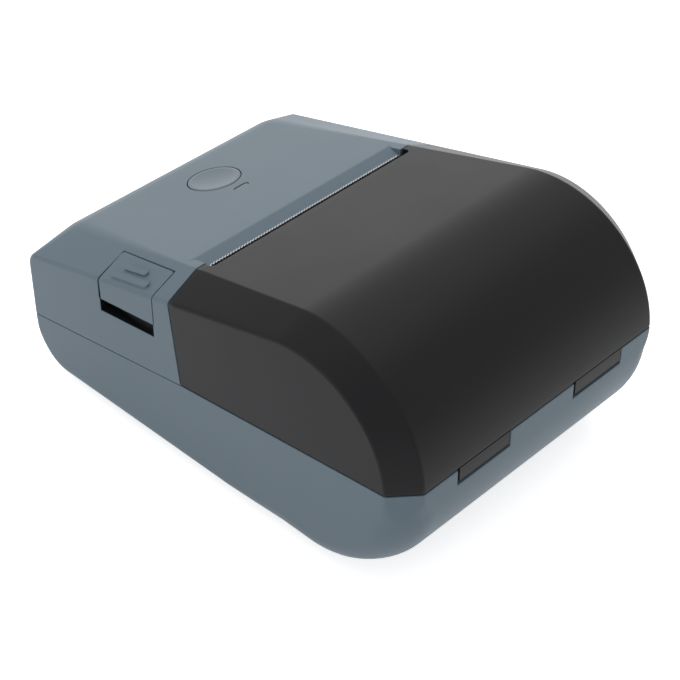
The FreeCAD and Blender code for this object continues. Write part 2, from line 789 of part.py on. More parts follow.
chamfer_normal = Vector()
chamfer_normal = (on_chamfer(0, 0) - on_chamfer(-20, 0)).cross(on_chamfer(-10, 0) - on_chamfer(-10, 5)) * -1
chamfer_normal.normalize()
if chamfer_normal.z < 0:
    chamfer_normal = chamfer_normal * -1
pin_depth = size.barrel_radius + 0.05
pin_across = size.latch_from_ridge + size.barrel_radius + size.latch_gap
latch_pin_front = on_chamfer(size.latch_front, pin_across, pin_depth)
latch_pin_rear = on_chamfer(size.latch_rear, pin_across, pin_depth)
latch_axis = (latch_pin_rear - latch_pin_front).normalize()

upper_shell = outer_form.common(upper_zone).cut(inner_form)
bosses = []
for x, y in case_screw_places:
    low = case_seam_height(y) + size.case_gap
    bosses.append(rod_shape(size.post_radius, 9.0, Vector(x, y, low - 0.6), Z_AXIS))
lip_top = (top_height(split_y) - size.split_height) / math.cos(seam)
lip = brick(-size.slot_half_length - 1, size.slot_half_length + 1, -size.lip_thickness, 0,
            lip_top - size.lip_height - size.scoop_drop, lip_top + 3, SEAM_PLACE)
recess_floor = flap_line(size.latch_front, size.recess_height)
pocket_block = brick(size.body_half_width - size.recess_depth - 1.2, size.body_half_width - 0.5,
                     size.latch_front - 1.4, size.latch_rear + 1.4,
                     recess_floor - 1.2, flap_line(size.latch_rear))
key_boss_places = [(-10.2, 1.5), (10.2, 1.5)]
key_bosses = [top_rod(1.9, 1.0, size.key_board_depth, x, size.button_y + y) for x, y in key_boss_places]
upper_added = joined([*bosses, lip, pocket_block, *key_bosses]).common(added_limit).common(upper_zone)
upper = upper_shell.fuse(upper_added)

scoop_angle = math.degrees(math.atan2(size.scoop_drop, size.scoop_width))
edge_place = top_place(split_y - math.sin(seam) * lip_top)
scoop_place = edge_place.multiply(Placement(Vector(0, -size.scoop_width, 0), Rotation(X_AXIS, -scoop_angle)))
scoop = brick(-size.slot_half_length + 0.6, size.slot_half_length - 0.6, 0, 8, 0, 6, scoop_place)
button_bore = top_rod(size.button_radius + size.button_gap, -1, 4, 0, size.button_y)
flange_space = top_rod(size.button_radius + 1.6, size.wall, 4.5, 0, size.button_y)


def light_slot(grow, depth_from, depth_to):
    """Rounded slot square to the top for the status light."""
    half = size.led_length / 2 - size.led_width / 2
    radius = size.led_width / 2 + grow
    place = top_place(size.led_y)
    bar = brick(-half, half, -radius, radius, -depth_to, -depth_from, place)
    ends = [top_rod(radius, depth_from, depth_to, x, size.led_y) for x in (-half, half)]
    return joined([bar, *ends])


usb_low = size.board_height + size.board_thickness
usb_hole_half = size.usb_height / 2 + 0.25
usb_middle = usb_low + size.usb_height / 2
usb_hole = joined([
    brick(-size.body_half_width - 1, -size.body_half_width + 4,
          size.usb_y - size.usb_width / 2 + usb_hole_half - 0.25,
          size.usb_y + size.usb_width / 2 - usb_hole_half + 0.25,
          usb_middle - usb_hole_half, usb_middle + usb_hole_half),
    *[rod_shape(usb_hole_half, 5, Vector(-size.body_half_width - 1,
                                         size.usb_y + side * (size.usb_width / 2 - usb_hole_half + 0.25),
                                         usb_middle), X_AXIS) for side in SIDES],
])
recess_space = latch_prism(0.0, size.recess_height).common(
    brick(size.body_half_width - size.recess_depth, FAR, -FAR, FAR, -FAR, FAR))
barrel_space = rod_shape(size.barrel_radius + size.latch_gap, (latch_pin_rear - latch_pin_front).Length
                         + 2 * size.latch_gap, latch_pin_front - latch_axis * size.latch_gap, latch_axis)
window = latch_prism(size.latch_gap, 0.0, 0.1)
boss_bores = [rod_shape(size.case_screw_shank + size.screw_fit, 12,
                        Vector(x, y, case_seam_height(y) - 4), Z_AXIS) for x, y in case_screw_places]
key_bores = [top_rod(size.small_screw_shank + size.screw_fit, 3.2, size.key_board_depth + 1, x, size.button_y + y)
             for x, y in key_boss_places]
pin_bore = rod_shape(size.latch_pin_radius + size.hinge_fit, (latch_pin_rear - latch_pin_front).Length + 5,
                     latch_pin_front - latch_axis * 2.5, latch_axis)
upper = upper.cut(joined([scoop, button_bore, flange_space, light_slot(0.08, -1, 4), usb_hole, recess_space,
                          barrel_space, window, *boss_bores, *key_bores, pin_bore]))
keep_shape("upper_case", upper)

# Side latch

latch_skin = outer_form.cut(casing_form(size.latch_shell)).common(latch_prism(-size.latch_gap / 2, 0.0, 0.9))
spring_room = size.latch_spring_length + 2 * size.latch_gap
barrel_length = (latch_pin_rear - latch_pin_front).Length - size.latch_gap - spring_room
barrel = rod_shape(size.barrel_radius, barrel_length, latch_pin_front + latch_axis * spring_room, latch_axis)


def rib(across, y0, y1, width):
    """Raised grip bar on the latch's sloping face."""
    shape = casing_form(-size.rib_rise).cut(casing_form(0.6))
    return shape.common(brick(across - width / 2, across + width / 2, y0, y1, 30, 60))


ribs = [rib(size.body_half_width - size.short_rib_inset, -26.6, -19.6, 1.2),
        rib(size.body_half_width - size.long_rib_inset, -28.4, -16.8, 1.3)]
spring_space = rod_shape(size.barrel_radius + size.latch_gap, spring_room + 3,
                         latch_pin_front - latch_axis * 3, latch_axis)
casing_in_front = brick(0, FAR, -FAR, size.latch_front - size.latch_gap + 0.15, -FAR, FAR)
casing_in_front.rotate(latch_pin_front, latch_axis * -1, -size.latch_swing - 2)
lever = joined([latch_skin.cut(spring_space).cut(casing_in_front), barrel, *ribs])
lever = lever.cut(rod_shape(size.latch_pin_radius + size.hinge_fit, 60, latch_pin_front - latch_axis * 20,
                            latch_axis))
keep_shape("latch_lever", lever)
pin_length = (latch_pin_rear - latch_pin_front).Length + 4
keep_shape("latch_pin", rod_shape(size.latch_pin_radius, pin_length, latch_pin_front - latch_axis * 2, latch_axis))

latch_spring = rod_shape(size.barrel_radius, size.latch_spring_length, latch_pin_front + latch_axis * size.latch_gap,
                         latch_axis)
latch_spring = latch_spring.cut(rod_shape(size.latch_pin_radius + 0.1, 60, latch_pin_front - latch_axis * 20,
                                          latch_axis))
keep_shape("latch_spring", latch_spring)

# Steel hook on the lever: a bridge from the flap, an arm to the rear and a nose beside the lid's peg

hook_inner = arm_outer + size.peg_reach + size.hook_gap
hook_low = size.platen_height - 2.1
flap_inner = size.body_half_width - size.latch_shell
hook_high = hook_low + 1.8
hook_outer = hook_inner + size.hook_thickness
bridge_front = size.latch_rear - 3.2
hook = joined([
    brick(hook_inner, flap_inner, bridge_front, size.latch_rear - 0.5, hook_low + 0.6, hook_high),
    brick(hook_inner, hook_outer, bridge_front, size.hook_end, hook_low, hook_high),
    brick(hook_inner, hook_outer, size.hook_end - 1.5, size.hook_end, hook_low - 1.4, hook_high),
])
keep_shape("latch_hook", hook)

# Tear bar on the lip of the paper slot

tear_low = lip_top - size.scoop_drop - size.lip_height
tear_high = lip_top - size.scoop_drop + size.tear_bar_rise
tooth_count = int(2 * size.tear_bar_half_length // size.tooth_pitch)
tooth_start = -tooth_count * size.tooth_pitch / 2
tear_points = [Vector(-size.tear_bar_half_length, 0, tear_low), Vector(-size.tear_bar_half_length, 0, tear_high)]
for index in range(tooth_count):
    left = tooth_start + index * size.tooth_pitch
    tear_points.append(Vector(left, 0, tear_high))
    tear_points.append(Vector(left + size.tooth_pitch / 2, 0, tear_high + size.tooth_depth))
tear_points += [Vector(-tooth_start, 0, tear_high), Vector(size.tear_bar_half_length, 0, tear_high),
                Vector(size.tear_bar_half_length, 0, tear_low)]
tear_points = [point for index, point in enumerate(tear_points)
               if index == 0 or (point - tear_points[index - 1]).Length > 1e-6]
tear_face = Part.Face(Part.makePolygon(tear_points + tear_points[:1]))
tear_bar = tear_face.extrude(Vector(0, size.tear_bar_thickness, 0)).transformed(SEAM_PLACE.toMatrix())
keep_shape("tear_bar", tear_bar)

# Hinge pins, feet and screws

keep_shape("hinge_pins", Part.makeCompound(hinge_rods(0.0)))

feet = [rod_shape(size.foot_radius, casing_bottom + size.foot_recess,
                  Vector(s * size.foot_rear_x, size.foot_rear_y, 0), Z_AXIS) for s in SIDES]
feet += [brick(s * size.foot_front_x - size.foot_front_length / 2, s * size.foot_front_x + size.foot_front_length / 2,
               size.foot_front_y - size.foot_front_width / 2, size.foot_front_y + size.foot_front_width / 2,
               0, casing_bottom + size.foot_recess) for s in SIDES]
keep_shape("rubber_feet", Part.makeCompound(feet))


def screw(x, y, head_seat, head_radius, head_height, shank_radius, shank_length, up):
    """Screw whose head bears at a height: up is 1 where the shank runs upwards."""
    shank = rod_shape(shank_radius, shank_length, Vector(x, y, head_seat), Z_AXIS * up)
    head = rod_shape(head_radius, head_height, Vector(x, y, head_seat), Z_AXIS * -up)
    socket = rod_shape(head_radius * 0.45, head_height * 0.6,
                       Vector(x, y, head_seat - up * head_height), Z_AXIS * up)
    return shank.fuse(head).removeSplitter().cut(socket)


keep_shape("case_screws", Part.makeCompound([
    screw(x, y, size.case_screw_seat, size.case_screw_head, 1.6, size.case_screw_shank,
          case_seam_height(y) + 6.5 - size.case_screw_seat, 1)
    for x, y in case_screw_places]))
tab_top = size.frame_bottom + size.tab_thickness
keep_shape("frame_screws", Part.makeCompound([
    screw(x, y, tab_top, size.small_screw_head, 0.9, size.small_screw_shank, 5.5, -1)
    for x, y in frame_screw_places]))
board_top = size.board_height + size.board_thickness
keep_shape("board_screws", Part.makeCompound([
    screw(x, y, board_top, size.small_screw_head, 0.9, size.small_screw_shank, 3.6, -1)
    for x, y in board_screw_places]))
key_screw_shapes = []
for x, y in key_boss_places:
    deep = size.key_board_depth + size.key_board_thickness
    key_screw_shapes.append(joined([
        top_rod(size.small_screw_shank, deep - 3.8, deep, x, size.button_y + y),
        top_rod(size.small_screw_head, deep, deep + 0.9, x, size.button_y + y)]))
keep_shape("key_screws", Part.makeCompound(key_screw_shapes))

# Platen carriage, which swings with the lid

keep("platen_roller", carved(
    "platen_roller",
    rod("platen_rubber", "platen_radius", "2 * platen_half_length", "-platen_half_length", "platen_y",
        "platen_height"),
    rod("platen_core", "shaft_radius", "2 * platen_half_length", "-platen_half_length", "platen_y",
        "platen_height")))
keep("platen_shaft", rod(
    "platen_shaft", "shaft_radius", "gear_inner + gear_width + gear_end_gap + arm_inner + arm_thickness + 1.2",
    "-gear_inner - gear_width - gear_end_gap", "platen_y", "platen_height"))
keep("platen_clip", carved(
    "platen_clip",
    rod("clip_disc", "shaft_radius + 1.3", "0.6", "arm_inner + arm_thickness + 0.15", "platen_y", "platen_height"),
    rod("clip_bore", "shaft_radius", "0.6", "arm_inner + arm_thickness + 0.15", "platen_y", "platen_height")))
bushes = []
for name, start in (("left", "-arm_inner"), ("right", "bush_inner")):
    bushes.append(carved(
        f"bush_{name}",
        rod(f"bush_{name}_outer", "bush_radius", "arm_inner - bush_inner", start, "platen_y", "platen_height"),
        rod(f"bush_{name}_bore", "shaft_radius + running_fit", "arm_inner - bush_inner", start, "platen_y",
            "platen_height")))
keep("platen_bushes", grouped("platen_bushes", *bushes))

# Gear train outside the left plate

platen_centre = Vector(-gear_outer, size.platen_y, size.platen_height)
idler_reach = size.gear_module * (size.idler_teeth + size.platen_teeth) / 2
motor_reach = size.gear_module * (size.idler_teeth + size.pinion_teeth) / 2
idler_step = 360 / size.idler_teeth
motor_turn = round(size.motor_line / idler_step) * idler_step
motor_angle = size.idler_line + motor_turn


def toward(angle, distance):
    """Step in the side view plane."""
    return Vector(0, distance * math.cos(math.radians(angle)), distance * math.sin(math.radians(angle)))


idler_centre = platen_centre - toward(size.idler_line, idler_reach)
motor_centre = idler_centre + toward(motor_angle, motor_reach)


def gear_place(centre, tooth_angle):
    """Place of a gear on an axis along X, with one tooth pointing at an angle."""
    turn = Rotation(X_AXIS, tooth_angle).multiply(Rotation(Vector(1, 1, 1), 120))
    return Placement(centre, turn)


gear("platen_gear", "platen_teeth", "gear_module", "gear_width", "shaft_radius",
     gear_place(platen_centre, size.idler_line + 180 + 180 / size.platen_teeth))
gear("reduction_gear", "idler_teeth", "gear_module", "gear_width", "idler_stub_radius + running_fit",
     gear_place(idler_centre, size.idler_line))
gear("motor_pinion", "pinion_teeth", "gear_module", "gear_width", "motor_shaft_radius",
     gear_place(motor_centre, motor_angle + 180 + 180 / size.pinion_teeth))

idler_x0 = -gear_outer - size.gear_end_gap
keep_shape("gear_stub", joined([
    rod_shape(size.idler_stub_radius, -size.plate_inner - idler_x0, Vector(idler_x0, idler_centre.y, idler_centre.z),
              X_AXIS),
    rod_shape(size.idler_stub_radius + 0.9, size.gear_inner - 0.15 - plate_outer,
              Vector(-size.gear_inner + 0.15, idler_centre.y, idler_centre.z), X_AXIS),
]))
motor_front = -size.plate_inner
motor_body = joined([
    rod_shape(size.motor_radius, size.motor_length, Vector(motor_front, motor_centre.y, motor_centre.z), X_AXIS),
    brick(motor_front, motor_front + 1.0, motor_centre.y - size.motor_radius + 0.6,
          motor_centre.y + size.motor_radius + 2.2, motor_centre.z - 3.0, motor_centre.z + 3.0),
])
motor_bore = rod_shape(size.motor_shaft_radius + size.running_fit, 4.2,
                       Vector(motor_front - 0.2, motor_centre.y, motor_centre.z), X_AXIS)
keep_shape("stepper_motor", motor_body.cut(motor_bore))
keep_shape("motor_shaft", rod_shape(size.motor_shaft_radius, gear_outer - size.plate_inner + 3.8,
                                    Vector(-gear_outer, motor_centre.y, motor_centre.z), X_AXIS))

# Mechanism frame between the casings

head_face = size.platen_y - size.platen_radius - size.head_gap
sink_rear = head_face - size.head_board
sink_front = sink_rear - size.sink_thickness
head_pivot_y = (sink_rear + sink_front) / 2
notch_radius = size.bush_radius + size.notch_gap
frame_parts = []
for sign in SIDES:
    x0, x1 = sorted((sign * size.plate_inner, sign * plate_outer))
    frame_parts.append(brick(x0, x1, size.frame_front, size.frame_rear, size.frame_bottom,
                             size.head_board_bottom))
    frame_parts.append(brick(x0, x1, size.spring_wall_y - 1.0, size.platen_y + notch_radius + 1.2,
                             size.head_board_bottom - 1.0,
                             size.spring_wall_top))
    for y in (size.tab_front_y, size.tab_rear_y):
        t0, t1 = sorted((sign * size.plate_inner, sign * (plate_outer + size.tab_length)))
        frame_parts.append(brick(t0, t1, y - size.tab_width / 2, y + size.tab_width / 2, size.frame_bottom,
                                 size.frame_bottom + size.tab_thickness))
frame_parts.append(brick(-plate_outer, plate_outer, size.frame_front, size.frame_front + size.frame_wall,
                         size.frame_bottom, size.head_board_bottom))
frame_parts.append(brick(-plate_outer, plate_outer, size.spring_wall_y, size.spring_wall_y + size.frame_wall,
                         size.spring_wall_bottom, size.spring_wall_top))
frame_holes = [
    rod_shape(notch_radius, FAR, Vector(-FAR / 2, size.platen_y, size.platen_height), X_AXIS),
    brick(-FAR, FAR, size.platen_y - notch_radius, size.platen_y + notch_radius + 5, size.platen_height, FAR),
    rod_shape(size.head_pivot_radius, FAR, Vector(-FAR / 2, head_pivot_y, size.head_pivot_height), X_AXIS),
    rod_shape(size.idler_stub_radius, 10, Vector(-plate_outer - 1, idler_centre.y, idler_centre.z), X_AXIS),
    rod_shape(size.motor_shaft_radius + 0.6, 4, Vector(-plate_outer - 1, motor_centre.y, motor_centre.z), X_AXIS),
]
frame_holes += [rod_shape(size.small_screw_shank + size.screw_fit, 4, Vector(x, y, size.frame_bottom - 1), Z_AXIS)
                for x, y in frame_screw_places]
keep_shape("mechanism_frame", joined(frame_parts).cut(joined(frame_holes)))

sensor_bar_rear = size.platen_y - 0.2
keep_shape("paper_bar", brick(-size.plate_inner, size.plate_inner, sensor_bar_rear - size.paper_bar_depth,
                              sensor_bar_rear, size.paper_bar_top - size.paper_bar_thickness,
                              size.paper_bar_top))
keep_shape("label_sensor", brick(size.sensor_inner, size.sensor_outer,
                                 sensor_bar_rear - size.paper_bar_depth + 0.2, sensor_bar_rear - 0.2,
                                 size.paper_bar_top, size.paper_bar_top + size.sensor_height))

# Thermal head on its heat sink

board_face = head_face - 0.15
keep_shape("thermal_head", joined([
    brick(-size.platen_half_length, size.platen_half_length, sink_rear, board_face, size.head_board_bottom,
          size.head_board_top),
    rod_shape(0.5, 2 * size.platen_half_length - 2, Vector(-size.platen_half_length + 1, head_face - 0.5,
                                                         size.platen_height), X_AXIS).common(
        brick(-FAR, FAR, sink_rear, FAR, -FAR, FAR)),
]))
sink = joined([
    brick(-size.platen_half_length, size.platen_half_length, sink_front, sink_rear, size.head_pivot_height,
          size.sink_top),
    rod_shape(size.head_eye_radius, 2 * size.platen_half_length - 4,
              Vector(-size.platen_half_length + 2, head_pivot_y, size.head_pivot_height), X_AXIS),
])
fin_slots = [brick(x - 0.8, x + 0.8, sink_front - 1, sink_front + 1.2, size.head_pivot_height + 3.5,
                   size.sink_top + 1) for x in range(-12, 13, 4)]
pivot_bore = rod_shape(size.head_pivot_radius + size.running_fit, FAR,
                       Vector(-FAR / 2, head_pivot_y, size.head_pivot_height), X_AXIS)
keep_shape("head_heat_sink", sink.cut(joined([*fin_slots, pivot_bore])))
keep_shape("head_pivot_rod", rod_shape(size.head_pivot_radius, 2 * plate_outer,
                                       Vector(-plate_outer, head_pivot_y, size.head_pivot_height), X_AXIS))
head_springs = []
for name, side in (("left", "-spring_spread"), ("right", "spring_spread")):
    start = "spring_wall_y + frame_wall"
    length = "platen_y - platen_radius - head_gap - head_board - sink_thickness - spring_wall_y - frame_wall"
    head_springs.append(carved(
        f"head_spring_{name}",
        rod(f"head_spring_{name}_outer", "spring_radius", length, side, start, "spring_height", Y_AXIS),
        rod(f"head_spring_{name}_inner", "spring_radius - spring_wire", length, side, start, "spring_height",
            Y_AXIS)))
keep("head_springs", grouped("head_springs", *head_springs))

# Paper tub behind the mechanism

tub_centre = Vector(0, size.tub_centre_y, size.tub_centre_height)
tub_outer = size.tub_radius + size.tub_wall
tub_end = size.tub_half_length + size.tub_wall
drum = rod_shape(tub_outer, 2 * tub_end, tub_centre - X_AXIS * tub_end, X_AXIS).cut(
    rod_shape(size.tub_radius, 2 * size.tub_half_length, tub_centre - X_AXIS * size.tub_half_length, X_AXIS))
above_rim = brick(-FAR, FAR, -FAR, FAR, -size.flange_drop, FAR, SEAM_PLACE).cut(
    brick(-FAR, FAR, -FAR, 12.0, -FAR, size.tub_centre_height + size.tub_front_rise))
rear_corner = brick(-FAR, FAR, size.tub_centre_y + 10, FAR, size.tub_centre_height - size.tub_rear_drop, FAR)
flanges = []
for sign in SIDES:
    x0, x1 = sorted((sign * (tub_end - 0.4), sign * size.flange_half_width))
    flanges.append(brick(x0, x1, size.flange_start - split_y, size.flange_end - split_y,
                         -size.flange_drop - 1.0, -size.flange_drop, SEAM_PLACE))
rack_reach = size.guide_module * size.guide_pinion_teeth / 2
leg_front = size.rack_line_y + rack_reach + 1.2 * size.guide_module
leg_rear = leg_front + size.rack_width
leg_slot = brick(-size.tub_half_length + 1, size.tub_half_length - 1, leg_front - 0.3, leg_rear + 0.3, 0, 14)
tub = drum.cut(above_rim).cut(rear_corner).cut(leg_slot)
keep_shape("paper_tub", joined([tub, *[flange.common(casing_form(size.wall + 0.3)) for flange in flanges]]))

# Roll guides on a rack and pinion, which keep the roll centred

rack_pitch = math.pi * size.guide_module
rack_top = size.rack_bottom + size.rack_thickness
guide_outer = size.guide_inner + size.guide_thickness


def rack(first, last, facing, offset):
    """Toothed bar: facing is the y direction in which its teeth point."""
    line = size.rack_line_y - facing * rack_reach
    root = line - facing * 1.2 * size.guide_module
    tip = line + facing * 0.85 * size.guide_module
    y0, y1 = sorted((root, root - facing * size.rack_width))
    shapes = [brick(first, last, y0, y1, size.rack_bottom, rack_top)]
    count = int((last - first) / rack_pitch)
    for index in range(-count, count + 1):
        x = offset + index * rack_pitch
        if x - rack_pitch / 2 < first or x + rack_pitch / 2 > last:
            continue
        wide, narrow = 0.81 * size.guide_module, 0.33 * size.guide_module
        corners = [Vector(x - wide, root - facing * 0.1, size.rack_bottom), Vector(x - narrow, tip, size.rack_bottom),
                   Vector(x + narrow, tip, size.rack_bottom), Vector(x + wide, root - facing * 0.1, size.rack_bottom)]
        tooth = Part.Face(Part.makePolygon(corners + corners[:1])).extrude(Vector(0, 0, size.rack_thickness))
        shapes.append(tooth)
    return shapes


def cheek(sign):
    """Round cheek that touches the end of the roll, with its leg through the tub's slot."""
    x0, x1 = sorted((sign * size.guide_inner, sign * guide_outer))
    disc = rod_shape(size.guide_radius, size.guide_thickness,
                     Vector(x0, size.tub_centre_y, size.tub_centre_height), X_AXIS)
    eye = rod_shape(8.0, 10, Vector(x0 - 4, size.tub_centre_y, size.tub_centre_height + 3), X_AXIS)
    disc = disc.cut(eye).common(brick(-FAR, FAR, -FAR, FAR, -FAR, size.tub_centre_height + 16))
    leg_low = size.rack_bottom if sign > 0 else rack_top + 0.4
    leg = brick(x0, x1, leg_front, leg_rear, leg_low, 16.0)
    return [disc, leg]


rack_over = 6.0
keep_shape("guide_right", joined([*cheek(1), *rack(-rack_over, guide_outer, -1, 0.0)]))
bridge = joined([
    brick(-guide_outer, -size.guide_inner, size.rack_line_y - rack_reach - 1.2 * size.guide_module - size.rack_width,
          leg_rear, rack_top + 0.4, rack_top + 1.6),
    brick(-guide_outer, -size.guide_inner, size.rack_line_y - rack_reach - 1.2 * size.guide_module - size.rack_width,
          size.rack_line_y - rack_reach - 1.2 * size.guide_module, size.rack_bottom, rack_top + 1.6),
])
keep_shape("guide_left", joined([*cheek(-1), bridge, *rack(-guide_outer, rack_over, 1, rack_pitch / 2)]))
gear("guide_pinion", "guide_pinion_teeth", "guide_module", "rack_thickness", "guide_post_radius + running_fit",
     Placement(Vector(0, size.rack_line_y, size.rack_bottom), Rotation(Z_AXIS, 90 + 180 / size.guide_pinion_teeth)))
keep_shape("guide_pin", rod_shape(size.guide_post_radius, rack_top + 0.2 - floor_top + 0.8,
                                  Vector(0, size.rack_line_y, floor_top - 0.8), Z_AXIS))

# Boards, socket, button and light

board = brick(-size.board_half_width, size.board_half_width, size.board_front, size.board_rear,
              size.board_height, board_top)
board = board.fuse(brick(-size.board_half_width - size.board_tab, -size.board_half_width + 1, size.usb_y - 5.3, size.usb_y + 5.3,
                         size.board_height, board_top))
chips = [
    brick(-6, 4, -41, -31, board_top, board_top + 1.2),
    brick(10, 17, -45, -38, board_top, board_top + 1.0),
    brick(-22, -14, -47, -43, board_top, board_top + 2.4),
    brick(8, 20, -33, -29, board_top, board_top + 3.4),
    rod_shape(2.5, 5.5, Vector(-12, -45, board_top), Z_AXIS),
    rod_shape(2.5, 5.5, Vector(26, -46, board_top), Z_AXIS),
]
board_holes = [rod_shape(size.small_screw_shank + size.screw_fit, 6, Vector(x, y, size.board_height - 2), Z_AXIS)
               for x, y in board_screw_places]
keep_shape("main_board", joined([board, *chips]).cut(joined(board_holes)))


def socket_form(half_width, half_height, x0, length):
    """Long block with round ends, lying along X at the socket."""
    middle = brick(x0, x0 + length, size.usb_y - half_width + half_height, size.usb_y + half_width - half_height,
                   usb_middle - half_height, usb_middle + half_height)
    ends = [rod_shape(half_height, length, Vector(x0, size.usb_y + side * (half_width - half_height), usb_middle),
                      X_AXIS) for side in SIDES]
    return joined([middle, *ends])


socket_x = -size.body_half_width + 0.9
shell_form = socket_form(size.usb_width / 2, size.usb_height / 2, socket_x, size.usb_length)
hollow_form = socket_form(size.usb_width / 2 - 0.35, size.usb_height / 2 - 0.35, socket_x - 1, size.usb_length - 0.2)
tongue = brick(socket_x + 1.2, socket_x + size.usb_length - 0.3, size.usb_y - 3.3, size.usb_y + 3.3,
               usb_middle - 0.35, usb_middle + 0.35)
keep_shape("usb_socket", shell_form.cut(hollow_form).fuse(tongue))

button_place = top_place(size.button_y)
led_step = (size.led_y - size.button_y) / math.cos(slope)
key_low = -size.key_board_depth - size.key_board_thickness
key_board = brick(-12.6, 12.6, -4.0, led_step + 3.0, key_low, -size.key_board_depth, button_place)
key_board = key_board.cut(joined([
    top_rod(size.small_screw_shank + size.screw_fit, 5, 9, x, size.button_y + y) for x, y in key_boss_places]))
keep_shape("key_board", key_board)
switch_top = -size.key_board_depth + 2.0
keep_shape("power_switch", joined([
    brick(-3, 3, -3, 3, -size.key_board_depth, switch_top, button_place),
    top_rod(1.6, size.key_board_depth - 2.8, size.key_board_depth - 1.0, 0, size.button_y),
]))
keep_shape("status_led", brick(-0.8, 0.8, led_step - 0.4, led_step + 0.4, -size.key_board_depth,
                               -size.key_board_depth + 0.8, button_place))
keep_shape("light_pipe", joined([light_slot(0.0, 0.0, size.key_board_depth - 1.0),
                                 light_slot(0.7, size.wall + 0.1, size.wall + 0.9)]))

flange_top = size.wall + 0.2
button_cap = joined([
    top_rod(size.button_radius, 0, flange_top + 0.6, 0, size.button_y),
    top_rod(size.button_radius + 1.3, flange_top, flange_top + 0.6, 0, size.button_y),
])
dish_rim = size.button_radius - 0.5
dish_radius = (dish_rim ** 2 + size.button_dish ** 2) / (2 * size.button_dish)
dish = Part.makeSphere(dish_radius, button_place.multVec(Vector(0, 0, dish_radius - size.button_dish)))
keep_shape("power_button", button_cap.cut(dish))
pad_ring = top_rod(5.6, flange_top + 0.6, size.key_board_depth, 0, size.button_y).cut(
    top_rod(4.3, flange_top, size.key_board_depth + 1, 0, size.button_y))
keep_shape("button_pad", pad_ring)

# Battery pack, its contacts and its catch

pack_half = size.bay_half_width - size.battery_gap
pack_front, pack_rear = size.bay_front + size.battery_gap, size.bay_rear - size.battery_gap
pack_top = size.bay_ceiling - size.battery_gap
pack = brick(-pack_half, pack_half, pack_front, pack_rear, casing_bottom, pack_top)
pack = pack.makeFillet(0.8, [e for e in pack.Edges if e.Vertexes[0].Point.z > 10 or e.Vertexes[-1].Point.z > 10])
groove = brick(-4.6, 4.6, pack_front - 1, pack_front + 1.4, floor_top - 0.1, floor_top + size.catch_tongue + 0.7)
finger_scoop = rod_shape(9.0, 14.0, Vector(-7, pack_rear - 9, casing_bottom - 8.2), X_AXIS)
keep_shape("battery_pack", pack.cut(joined([groove, finger_scoop])))
keep_shape("battery_contacts", brick(-8, 8, size.bay_rear - 4.0, size.bay_rear - 1.0, pack_top + 0.1,
                                     size.bay_ceiling + size.bay_wall + 1.2))
half = size.catch_half_width
catch_seat = floor_top + 0.2
keep_shape("battery_catch", joined([
    brick(-half, half, catch_front, catch_rear, casing_bottom, floor_top),
    brick(-half, half, catch_front, catch_rear - 1.6, casing_bottom, catch_seat + 0.1),
    brick(-half - 1.5, half + 1.5, catch_front + 0.3, catch_rear - 1.6, catch_seat, catch_seat + 0.8),
    brick(-4, 4, catch_rear - 2.6, size.bay_front + 0.9, floor_top - 0.1, catch_seat + size.catch_tongue),
    brick(-2.2, 2.2, catch_front + 0.3, catch_front + 1.8, catch_seat, catch_seat + 2.8),
]).cut(joined([brick(-half + 1.5, half - 1.5, catch_front + 0.8 + step, catch_front + 1.3 + step, -1,
                     casing_bottom + 0.4) for step in (0.0, 1.0, 2.0)])))
catch_spring = rod_shape(0.9, 3.0, Vector(0, catch_front + 0.3, catch_seat + 1.8), Y_AXIS * -1)
keep_shape("catch_spring", catch_spring.cut(
    rod_shape(0.6, 6.0, Vector(0, catch_front + 1.3, catch_seat + 1.8), Y_AXIS * -1)))

# Whole document checked, then every sub-part written to its own file

doc.recompute()
failed = [item.Label for item in doc.Objects if {"Invalid", "Error"} & set(item.State)]
unsound = [label for label, node in nodes.items() if node.Shape.isNull() or not node.Shape.isValid()]
if failed or unsound:
    raise RuntimeError(f"failed objects {failed}, unsound shapes {unsound}")
os.makedirs("parts", exist_ok=True)
for label, node in nodes.items():
    node.Shape.exportStep(f"parts/{label}.step")
    solids = len(node.Shape.Solids)
    print(f"{label}: {solids} solid{'s' if solids > 1 else ''}, {node.Shape.Volume:.1f} cubic mm")
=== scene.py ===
"""Looks of a portable label printer: grey two-part casing, black roll lid, side latch and print mechanism."""

from __future__ import annotations

import json
import logging
import math
from dataclasses import dataclass, field
from enum import Enum
from typing import Callable, Iterable, Sequence, Union

import bmesh
import bpy
from mathutils import Matrix, Vector
from mathutils.bvhtree import BVHTree

